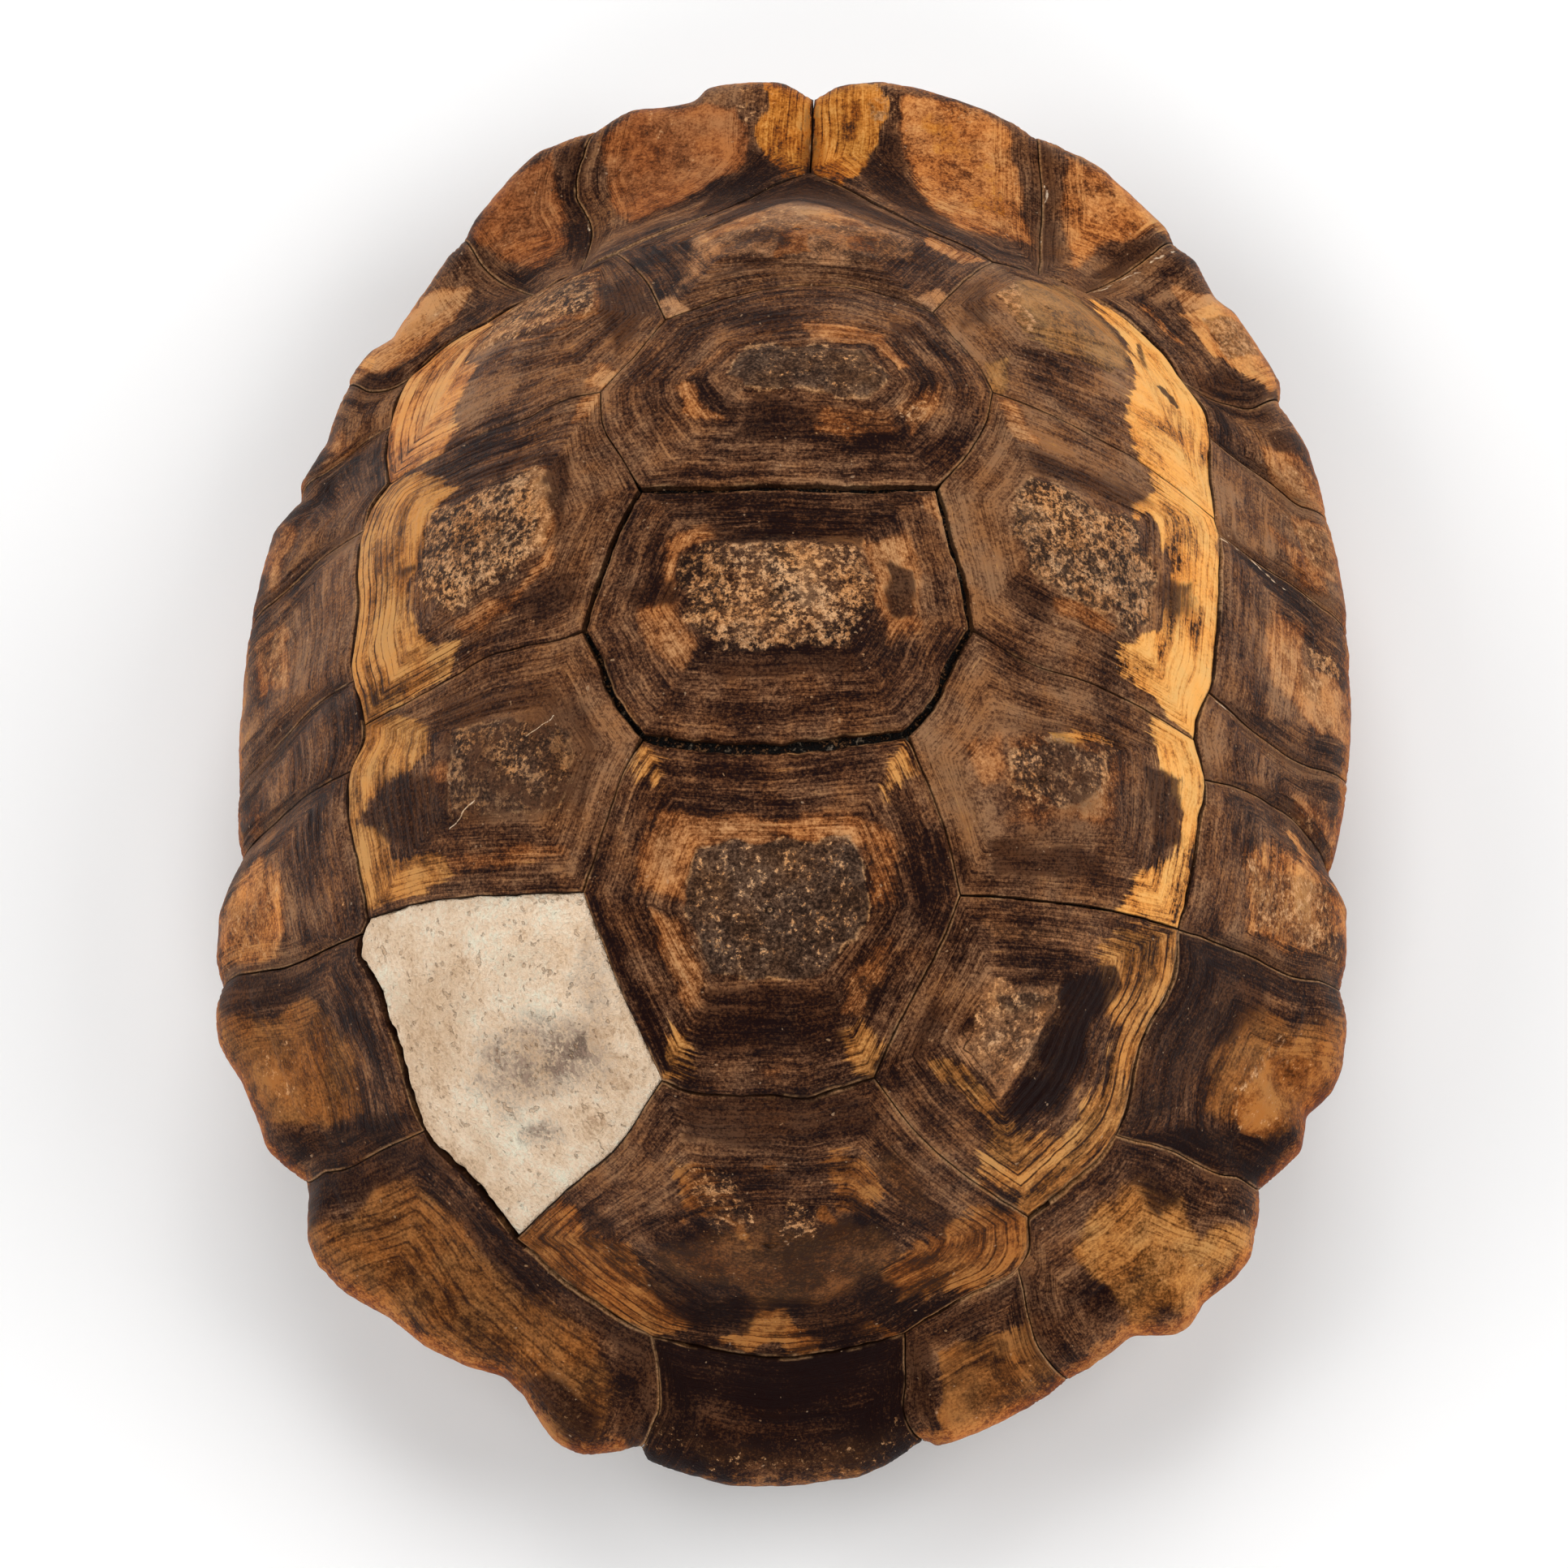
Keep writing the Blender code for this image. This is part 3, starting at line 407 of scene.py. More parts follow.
def plateHeight(plan):
    # the plastron's underside: the rim's height times the keel's curve, half as high away from the bridges
    angle, share = shareOf(plan)
    rise = (atAngle(rimTable, angle) - shell["rimHalf"]) * keel(share)
    return rise * (0.5 + 0.5 * bridgePart(angle))


def plateAt(plan, depth):
    # a point `depth` above the plastron's underside, along its normal
    slopes = [(plateHeight(plan + reach) - plateHeight(plan - reach)) / 0.2 for reach in 0.1 * np.eye(2)]
    normal = unit(np.stack([*slopes, -np.ones_like(slopes[0])], axis=-1))
    below = np.concatenate([plan, plateHeight(plan)[..., None]], axis=-1)
    return below - normal * np.broadcast_to(depth, slopes[0].shape)[..., None]


def smoothSeam(points, spacing=0.25):
    # a curve through the points (each point's slope is from its neighbours), with a small wander
    points = np.asarray(points, float)
    run = np.concatenate([[0], np.cumsum(np.hypot(*np.diff(points, axis=0).T))])
    slope = np.gradient(points, run, axis=0)
    at = np.linspace(0, run[-1], max(3, int(run[-1] / spacing)) + 1)
    i = np.clip(np.searchsorted(run, at, side="right") - 1, 0, len(run) - 2)
    step = (run[i + 1] - run[i])[:, None]
    line = cubic(points[i], points[i + 1], slope[i], slope[i + 1], (at - run[i])[:, None] / step, step)
    held = np.minimum(at, run[-1] - at)[:, None]
    return line + wander(line, 2.2, 21, 2, 0.10) * np.clip(held / 2, 0, 1)


fineSeams = {name: smoothSeam(points) for name, points in seams.items()}
ringTable = around(np.concatenate([fineSeams[name][:-1] for name in ringSeams]))


def makePiece(name, surface, look, nodes, slotName):
    # a mesh from arrays in mm, faces outward, its marks kept as attributes on its points
    points, quads, tris, marks = surface
    a, b, c, d = (points[corner] for corner in quads.T)
    if (a * np.cross(c - a, d - b)).sum() < 0:
        quads, tris = quads[:, ::-1], tris[:, ::-1]
    mesh = bpy.data.meshes.new(name)
    mesh.vertices.add(len(points))
    mesh.vertices.foreach_set("co", ((points + shell["frameShift"]) * 0.001).astype(np.float32).ravel())
    mesh.loops.add(quads.size + tris.size)
    mesh.loops.foreach_set("vertex_index", np.concatenate([quads.ravel(), tris.ravel()]).astype(np.int32))
    mesh.polygons.add(len(quads) + len(tris))
    starts = np.concatenate([np.arange(len(quads)) * 4, quads.size + np.arange(len(tris)) * 3])
    mesh.polygons.foreach_set("loop_start", starts.astype(np.int32))
    for mark, values in marks.items():
        layer = mesh.attributes.new(mark, "FLOAT", "POINT")
        layer.data.foreach_set("value", np.asarray(values, np.float32))
    mesh.update(calc_edges=True)
    mesh.shade_smooth()
    mesh.materials.append(look)
    piece = placed(name, mesh)
    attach(piece, "root")
    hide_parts(*nodes)


def placed(name, data):
    # an object in the scene, at the origin
    thing = bpy.data.objects.new(name, data)
    bpy.context.scene.collection.objects.link(thing)
    return thing


def gridQuads(rows, columns, first=0, closed=False):
    # faces between rows of points, each row one after another, closed into rings or not
    row, column = np.meshgrid(np.arange(rows - 1), np.arange(columns - 1 + closed), indexing="ij")
    a, b = first + row * columns + column, first + row * columns + (column + 1) % columns
    return np.stack([a, b, b + columns, a + columns], axis=-1).reshape(-1, 4)


def zipper(fine, coarse, every):
    # triangles between a closed loop of points and a sparser one that keeps the points listed in `every`
    count = len(fine)
    middle = np.asarray(every) + np.diff(np.append(every, every[0] + count)) / 2
    nearest = np.searchsorted(middle, np.arange(count) + 0.5) % len(every)
    ahead = (np.arange(count) + 1) % count
    down = np.stack([fine[ahead], fine, coarse[nearest]], axis=1)
    change = np.nonzero(nearest != np.roll(nearest, 1))[0]
    back = np.stack([coarse[nearest[change - 1]], coarse[nearest[change]], fine[change]], axis=1)
    return np.concatenate([down, back])


def fan(pole, loop, outward):
    # triangles from a pole to each side of a ring
    ahead = np.roll(loop, -1)
    pair = (loop, ahead) if outward else (ahead, loop)
    return np.stack([np.full(len(loop), pole), *pair], axis=1)


def stitched(upper, lower):
    # faces between two rings of as many points
    ahead = np.roll(np.arange(len(upper)), -1)
    return np.stack([upper, upper[ahead], lower[ahead], lower], axis=1)


def cappedRings(rows, poles, count, outward):
    # rings of `count` points one after another, closed at either end by a fan from a pole
    points = np.concatenate([*rows, *poles])
    total = len(points) // count
    ring = np.arange(count)
    first = fan(total * count, ring, outward)
    last = fan(total * count + 1, (total - 1) * count + ring, not outward)
    return points, gridQuads(total, count, 0, True), np.concatenate([first, last])


def padded(values, total, fill=0.0):
    # the values in one row, filled up to the total
    return np.concatenate([np.ravel(values), np.full(total - np.size(values), fill)])


def isClockwise(loop):
    # whether the area inside comes out negative
    ahead = np.roll(loop, -1, axis=0)
    return (loop[:, 0] * ahead[:, 1] - ahead[:, 0] * loop[:, 1]).sum() < 0


def outlineOf(names):
    # seams followed end to end: the loop, counter-clockwise, the places of its corners, and the half gap and
    # the lightness of each point's seam
    ends = [(seams[name][0], seams[name][-1]) for name in names]
    at = ends[0][0] if ends[0][1] in ends[1] else ends[0][1]
    lines = []
    for name, (first, last) in zip(names, ends):
        forward = first == at
        at = last if forward else first
        lines.append((fineSeams[name] if forward else fineSeams[name][::-1])[:-1])
    loop = np.concatenate(lines)
    counts = [len(line) for line in lines]
    gap = np.repeat([seamGap.get(name, usualGap) for name in names], counts)
    light = np.repeat([seamRim.get(name, usualRim) for name in names], counts)
    corners = np.cumsum([0] + counts[:-1])
    if isClockwise(loop):
        loop, gap, light = loop[::-1], gap[::-1], light[::-1]
        corners = np.sort((len(loop) - 1 - corners) % len(loop))
    gap = blurred(gap, 5) * (1 + 0.45 * noise(loop, 1.3, 26, 3))
    return loop, corners, gap, blurred(light, 3)


def movedIn(loop, gap):
    # the counter-clockwise loop moved inwards, its corners mitred
    side = unit(np.roll(loop, -1, axis=0) - loop)
    inward = np.stack([-side[:, 1], side[:, 0]], axis=1)
    both = np.roll(inward, 1, axis=0) + inward
    both /= np.maximum((both * inward).sum(axis=1, keepdims=True), 0.4)
    return loop + both * np.asarray(gap, float).reshape(-1, 1)


def lineDistance(plan, line, closed=True):
    # how far each point is from a run of straight sides
    nearest = np.full(len(plan), 1e9)
    for a, b in list(zip(line, np.roll(line, -1, axis=0)))[:None if closed else -1]:
        along = b - a
        t = np.clip(((plan - a) @ along) / max(along @ along, 1e-9), 0, 1)
        nearest = np.minimum(nearest, np.hypot(*(plan - a - t[:, None] * along).T))
    return nearest


def patchMark(plan, patches, kind):
    # 1 inside the listed patches of that kind, fading out over their softness
    total = np.zeros(len(plan))
    for soft, strength, *polygon in (patch[1:] for patch in patches if patch[0] == kind):
        corners = np.reshape(polygon, (-1, 2)).astype(float)
        inside = np.zeros(len(plan), bool)
        for a, b in zip(corners, np.roll(corners, -1, axis=0)):
            crosses = (a[1] > plan[:, 1]) != (b[1] > plan[:, 1])
            crossing = a[0] + (plan[:, 1] - a[1]) / (b[1] - a[1] + 1e-12) * (b[0] - a[0])
            inside ^= crosses & (plan[:, 0] < crossing)
        nearest = lineDistance(plan, corners)
        total = np.maximum(total, strength * easeIn(-soft, soft, np.where(inside, nearest, -nearest)))
    return total


patchKinds = ("amber", "glow", "crust", "dark", "grey", "pale")
# side carries painted facet shade, and edge the free edge's painted through-light
surfaceMarks = ("growth", "near", "rim", "turn", "side", "edge")


def hornMarks(total, growth, patches, plan, **others):
    # what the horn's look reads at each point: growth from 0 at the areola to 1 at the seam, the mm to the
    # seam, the yearly turns and the patches; the walls and the back get 1 for growth and 0 for the rest
    flat = plan.reshape(-1, plan.shape[-1])[:, :2]
    drifted = flat + wander(flat, 2.4, 71, 3, 0.7)
    marks = {kind: padded(patchMark(drifted, patches, kind), total) for kind in patchKinds}
    marks.update({name: padded(values + 0 * growth, total) for name, values in others.items()})
    marks["growth"] = padded(growth, total, 1.0)
    return marks


class Wire:
    # a number in the material's nodes, so that sums of them can be written as sums
    def __init__(self, look, socket):
        self.look, self.socket = look, socket

    def __add__(self, other):
        return self.look.maths("ADD", self, other)

    def __sub__(self, other):
        return self.look.maths("SUBTRACT", self, other)

    def __rsub__(self, other):
        return self.look.maths("SUBTRACT", other, self)

    def __mul__(self, other):
        return self.look.maths("MULTIPLY", self, other)

    __radd__ = __add__
    __rmul__ = __mul__


class Look:
    # a material, and short words for the nodes that it is made of
    def __init__(self, name):
        self.made = bpy.data.materials.new(name)
        self.made.use_nodes = True
        self.tree = self.made.node_tree
        self.shader = self.tree.nodes["Principled BSDF"]

    def node(self, kind, output, values, **settings):
        # any node: its settings first, then what its sockets get; returns the named output
        node = self.tree.nodes.new(kind)
        for key, value in settings.items():
            setattr(node, key, value)
        for key, value in values.items():
            self.feed(node.inputs[key], value)
        return Wire(self, node.outputs[output])

    def feed(self, socket, value):
        if isinstance(value, Wire):
            self.tree.links.new(value.socket, socket)
        elif isinstance(value, (tuple, list)) and len(value) == 3 and len(socket.default_value) == 4:
            socket.default_value = (*value, 1)
        else:
            socket.default_value = value

    def maths(self, how, first, second=0.0):
        return self.node("ShaderNodeMath", 0, {0: first, 1: second}, operation=how)

    def mark(self, name):
        # a number kept on the mesh's points
        return self.node("ShaderNodeAttribute", "Fac", {}, attribute_name=name)

    def scaled(self, vector, factor):
        return self.node("ShaderNodeVectorMath", 0, {0: vector, "Scale": factor}, operation="SCALE")

    def place(self):
        # the point in mm
        return self.scaled(self.node("ShaderNodeTexCoord", "Object", {}), 1000.0)

    def noise(self, vector, scale, detail, rough, **fourth):
        # from 0 to 1; the fourth number, W, moves through the noise
        values = {"Vector": vector, "Scale": scale, "Detail": detail, "Roughness": rough, **fourth}
        return self.node("ShaderNodeTexNoise", "Fac", values, noise_dimensions="4D" if fourth else "3D")

    def grains(self, *how, **fourth):
        # the same about 0
        return self.noise(*how, **fourth) - 0.5

    def ramp(self, value, *stops):
        wire = self.node("ShaderNodeValToRGB", "Color", {"Fac": value})
        elements = wire.socket.node.color_ramp.elements
        while len(elements) < len(stops):
            elements.new(0.5)
        for element, (place, colour) in zip(elements, stops):
            element.position = place
            element.color = (*colour, 1)
        return wire

    def toned(self, value, places, name):
        # the tones of that name, each at its place
        return self.ramp(value, *zip(places, tones(name)))

    def steps(self, value, low, high, first=0.0, last=1.0):
        # smooth step from first to last as the value goes from low to high
        values = {"Value": value, "From Min": low, "From Max": high, "To Min": first, "To Max": last}
        return self.node("ShaderNodeMapRange", "Result", values, interpolation_type="SMOOTHSTEP")

    def mix(self, factor, first, second, how="MIX"):
        # the second colour over the first, by that factor
        return self.node("ShaderNodeMix", 2, {0: factor, 6: first, 7: second}, data_type="RGBA",
                         blend_type=how, clamp_factor=True)

    def bump(self, height, strength, distance):
        values = {"Height": height, "Strength": strength, "Distance": distance}
        return self.node("ShaderNodeBump", "Normal", values)

    def finish(self, colour, roughness, normal, **fixed):
        for key, value in {"Base Color": colour, "Roughness": roughness, "Normal": normal}.items():
            self.feed(self.shader.inputs[key], value)
        for key, value in fixed.items():
            self.shader.inputs[key.replace("_", " ")].default_value = value
        return self.made


# colours as they look on a screen in this light, 0 to 255, each from its darkest to its lightest
toneTable = {
    "brown": ((27, 15, 9), (54, 33, 22), (79, 51, 35), (106, 72, 49), (148, 107, 74)),
    "straw": ((180, 116, 56), (226, 160, 84), (239, 180, 104)),
    "orange": ((138, 82, 42), (189, 126, 72), (216, 156, 94)),
    "fox": ((118, 66, 32), (180, 114, 62), (212, 150, 90)),
    "honey": ((108, 68, 32), (160, 106, 56), (200, 144, 82)),
    "yellow": ((128, 70, 26), (184, 116, 46), (212, 148, 76)),
    "russet": ((82, 46, 20), (130, 78, 38), (172, 114, 60)),
    "rust": ((108, 62, 32), (158, 104, 62), (198, 144, 94)),
    "ember": ((100, 56, 30), (140, 84, 48), (176, 116, 70)),
    "olive": ((108, 76, 46), (150, 106, 62), (176, 128, 78)),
    "ochre": ((88, 54, 28), (126, 80, 42), (162, 106, 56)),
    "umber": ((56, 35, 20), (82, 51, 29), (122, 78, 44)),
    "clay": ((96, 66, 45), (146, 102, 69), (186, 138, 96)),
    # edgeLight: painted light shining through the thin free edge
    "edgeLight": ((128, 60, 20), (172, 94, 36), (204, 134, 70)),
    "crust": ((112, 78, 50), (165, 117, 77), (208, 160, 114)),
    "grey": ((37, 27, 21), (67, 49, 38), (104, 81, 64)),
    "cream": ((184, 150, 118), (226, 204, 178)),
    # dirt: near-black painted shade for the seam crevices and the gaps between scutes
    "dirt": ((8, 5, 3), (30, 19, 13)),
    "bone": ((198, 163, 130), (230, 198, 164), (243, 216, 186), (252, 235, 210)),
    "stain": ((92, 76, 66), (130, 108, 92), (166, 138, 118)),
    "warm": ((178, 136, 96), (212, 172, 130)),
}
lightLevel = 0.90
sheen = 0.004  # the light that every surface mirrors


def tones(name):
    # screen colours as linear ones: ((c + 0.055) / 1.055) ^ 2.4 but for the darkest, over the light's level
    shown = np.array(toneTable[name]) / 255
    linear = np.where(shown <= 0.04045, shown / 12.92, ((shown + 0.055) / 1.055) ** 2.4)
    return [tuple(float(v) for v in np.clip(row / lightLevel - sheen, 0.0008, 1)) for row in linear]


def hornLook(name, shift, amberTone, glowTone, lines=1.0, ringCount=16.0):
    # brown horn with fine streaks along the growth rings; each layer lies over the last one
    look = Look(name)
    place = look.place()
    growth, near, rim, turn, side, edge = (look.mark(mark) for mark in surfaceMarks)
    amber, glow, crust, dark, grey, pale = (look.mark(kind) for kind in patchKinds)
    rings = look.maths("MAXIMUM", growth, -0.05) * ringCount
    broad = look.grains(look.scaled(place, 0.075), 1.0, 2.0, 0.5, W=rings * 0.30)
    band = look.grains(look.scaled(place, 0.13), 1.0, 3.0, 0.6, W=rings)
    fine = look.grains(look.scaled(place, 0.30), 1.0, 3.0, 0.65, W=rings * 3.8)
    grain = look.grains(place, 3.4, 2.0, 0.7)
    speck = look.grains(place, 0.9, 3.0, 0.65)
    pits = look.grains(place, 1.9, 3.0, 0.7)
    cloud = look.grains(place, 0.13, 3.0, 0.6)
    curl = look.maths("ABSOLUTE", look.grains(place, 1.15, 2.0, 0.55, W=5.0))
    cluster = look.grains(place, 0.42, 2.0, 0.6, W=3.0)
    hue = look.noise(place, 0.22, 3.0, 0.6)

    # the yearly lines, dark with a light side, clear in some bands only
    ringed = look.steps(growth, -0.06, 0.10)
    saw = look.maths("FRACT", turn)
    clear = look.steps(band, -0.07, 0.08) * ringed
    line = look.steps(look.maths("MINIMUM", saw, 1 - saw), 0.0, 0.17, 1.0, 0.0) * ringed
    darkLine = line * clear
    outer = look.steps(growth + cloud * 0.8, 0.25, 0.75)
    lightLine = look.steps(look.maths("ABSOLUTE", saw - 0.35), 0.0, 0.16, 1.0, 0.0) * clear
    streak = broad * 0.6 + band * 0.42 + fine * 0.55 + grain * 0.75 + speck * 0.3 + cloud * 0.7
    # side adds painted facet shade: each side of a scute a little lighter or darker
    streak = streak + side * 0.05 + lightLine * 0.06 - darkLine * 0.08 + (0.5 + shift)
    brown, crumb, dirt, cream = (tones(tone) for tone in ("brown", "crust", "dirt", "cream"))
    colour = look.ramp(streak, *zip((0.30, 0.42, 0.50, 0.60, 0.76), brown))

    # soft clouds of colour between the areola and the rings
    glowing = look.steps(glow + cloud * 0.8 + band * 0.6 + speck * 0.4, 0.18, 0.85)
    shade = cloud * 0.6 + broad * 0.5 + band * 0.45 + fine * 0.6 + grain * 0.7 + speck * 0.5
    # side again adds the painted facet shade
    shade = shade + side * 0.05 + 0.5
    shade = shade + (look.maths("MINIMUM", glow, 1.6) - 1.0) * 0.25
    shade = shade - line * look.steps(fine + broad, -0.12, 0.0) * (0.10 * lines)
    glowing = glowing * look.steps(dark, 0.2, 1.0, 1.0, 0.4)
    glowColour = look.ramp(shade, (0.20, brown[1]), *zip((0.36, 0.50, 0.68), tones(glowTone)))
    colour = look.mix(glowing * 0.94, colour, glowColour)

    # fields of amber, with sharper edges that follow the rings
    ambered = look.steps(amber + band * 1.5 + fine * 1.2 + cloud * 0.6 + speck * 0.7, 0.34, 0.70)
    shade = broad * 0.9 + band * 0.6 + fine * 0.5 + cloud * 0.9 + grain * 0.5 + speck * 0.4 + 0.5
    shade = shade + (look.maths("MINIMUM", amber, 1.4) - 1.0) * 0.10
    shade = shade - line * outer * look.steps(fine + broad, -0.12, 0.0) * (0.20 * lines)
    amberColour = look.ramp(shade, (0.24, brown[1]), *zip((0.36, 0.50, 0.64), tones(amberTone)))
    colour = look.mix(ambered, colour, amberColour)

    # the areola: grey ground, and light crumbs of worn horn parted by curling cracks
    greyed = look.maths("MAXIMUM", look.steps(grey + speck * 0.9 + pits * 0.5 + cloud * 1.2, 0.30, 0.70),
                        look.steps(crust, 0.25, 0.6) * 0.5)
    shade = grain * 0.8 + speck * 0.5 + pits * 0.4 + cluster * 0.4 + 0.5
    colour = look.mix(greyed * 0.85, colour, look.toned(shade, (0.36, 0.50, 0.66), "grey"))
    border = look.steps(look.maths("ABSOLUTE", grey - 0.45 + pits * 0.6), 0.0, 0.34, 1.0, 0.0)
    border = border * look.steps(speck + cluster, -0.04, 0.10)
    crusted = look.steps(crust + pits * 2.2 + speck * 1.0 + cluster * 0.7, 0.50, 0.74)
    crusted = crusted * look.steps(curl, 0.006, 0.030, 0.25, 1.0)
    crusts = look.toned(grain * 0.8 + cloud * 0.6 + speck * 0.9 + 0.5, (0.36, 0.50, 0.68), "crust")
    colour = look.mix(crusted * 0.95, colour, crusts)
    colour = look.mix(border * 0.7, colour, look.ramp(grain + 0.5, (0.35, crumb[0]), (0.65, crumb[2])))

    # painted light: the thin free edge is painted bright orange as if light shone through it; then dark
    # fields over all of these
    litEdge = look.steps(edge + speck * 0.7 + cloud * 0.8 + grain * 0.4, 0.45, 1.0) * 0.65
    colour = look.mix(litEdge, colour, look.toned(grain + speck * 0.8 + cloud + 0.5, (0.34, 0.5, 0.66), "edgeLight"))
    darkened = dark + cloud * 1.0 + band * 1.3 + fine * 0.7 + speck * 0.6 + grain * 0.5
    darkened = look.steps(darkened, 0.32, 0.82)
    shade = streak + grain * 0.4 - look.maths("MAXIMUM", dark - 1.0, 0.0) * 0.30
    darkColour = look.ramp(shade, *zip((0.36, 0.54, 0.70), brown))
    colour = look.mix(darkened * 0.92, colour, darkColour)

    # worn light rims and painted shade in the seam crevices, pale marks and flecks
    wear = look.grains(place, 0.26, 3.0, 0.6, W=sum(map(ord, name)) * 0.37) * 2.0 + 0.5
    worn = look.steps(near + grain * 0.3 + speck * 0.3, 0.04, 0.30, 1.0, 0.0)
    worn = worn * look.steps(wear + rim, 0.78, 1.08)
    colour = look.mix(worn * 0.75, colour, look.ramp(grain + 0.5, (0.35, crumb[0]), (0.65, crumb[2])))
    paled = look.steps(pale + speck * 1.0, 0.34, 0.60)
    colour = look.mix(paled * 0.85, colour, look.ramp(grain + 0.5, (0.3, cream[0]), (0.6, cream[1])))
    # painted shade: the horn right at each seam is darkened to near black, as the crevice between scutes
    # lies in shade; less where the seam is worn light
    seamShade = look.steps(near, 0.0, 0.12, 1.0, 0.0) * look.steps(rim, 0.5, 1.0, 0.8, 0.1)
    colour = look.mix(seamShade, colour, dirt[1])
    fleck = look.steps(look.noise(place, 1.5, 1.0, 0.5), 0.76, 0.79)
    colour = look.mix(fleck * 0.5, colour, cream[0])
    tint = look.ramp(hue, (0.36, (0.92, 0.95, 1.0)), (0.48, (0.99, 0.96, 0.93)), (0.62, (1.0, 0.88, 0.72)))
    colour = look.mix(1.0, colour, tint, "MULTIPLY")

    rough = grain * 0.4 + speck * 0.3 + crust * 0.10 + 0.50
    height = band * 0.5 + fine * 0.5 + grain * 0.25 - darkLine * 0.10 + crust * pits * 1.2
    return look.finish(colour, rough, look.bump(height, 0.7, 0.0004), IOR=1.45, Specular_IOR_Level=0.07)


def boneLook(name):
    # cream bone: broad cool stains, warm blotches, fine cracks, pits, painted light and shade along the
    # strip, and painted shade where the horn ended
    look = Look(name)
    place = look.place()
    stain, warm, crackAndShadeLine, bevel, dirt = (look.mark(mark) for mark in boneMarks)
    cloud = look.grains(place, 0.10, 4.0, 0.6)
    speck = look.grains(place, 0.6, 4.0, 0.65)
    grain = look.grains(place, 2.4, 3.0, 0.65)
    smudge = look.grains(place, 0.28, 4.0, 0.7)
    # painted highlight: the smooth strip is made a little lighter, and its stains fade
    clean = cloud * 0.8 + smudge * 0.5 + speck * 0.3 + grain * 0.4 + bevel * 0.06 + 0.5
    colour = look.toned(clean, (0.30, 0.42, 0.54, 0.70), "bone")
    warmed = look.steps(warm * 0.8 + smudge * 1.0 + speck * 0.5 + grain * 0.3, 0.05, 0.95)
    colour = look.mix(warmed * 0.50, colour, look.toned(speck * 0.6 + grain + 0.5, (0.35, 0.65), "warm"))
    patch = stain * (1 - bevel * 0.8)
    stained = patch * (smudge * 1.5 + speck * 1.6 + grain * 1.6 + 0.70) + (smudge + speck + grain) * 0.30
    stained = look.steps(stained, 0.0, 1.15)
    shade = speck + grain - patch * 0.10 + 0.58
    colour = look.mix(stained, colour, look.toned(shade, (0.30, 0.50, 0.70), "stain"))
    pit = look.steps(look.noise(place, 1.1, 2.0, 0.5), 0.64, 0.70)
    colour = look.mix(pit * 0.3, colour, tones("warm")[0])
    # this mark holds real cracks and a painted shade line along the smooth strip's edge
    cracked = look.steps(crackAndShadeLine + speck * 1.4, 0.45, 0.9)
    colour = look.mix(cracked * 0.6, colour, tones("stain")[0])
    # painted shade: near black where the bone lies under the horn, seen through the seam gaps and at the
    # horn's edge, with light grains of grit
    grit = look.ramp(speck + grain + 0.5, *zip((0.45, 0.62, 0.74), tones("dirt") + tones("crust")[:1]))
    colour = look.mix(look.steps(dirt + speck * 1.2 + grain * 0.6, 0.30, 0.90), colour, grit)
    normal = look.bump(speck * 0.8 + grain * 0.6 + smudge * 0.6 - pit * 0.5 - cracked * 0.6, 1.0, 0.0008)
    return look.finish(colour, grain * 0.3 + 0.6, normal, IOR=1.5, Specular_IOR_Level=0.12)


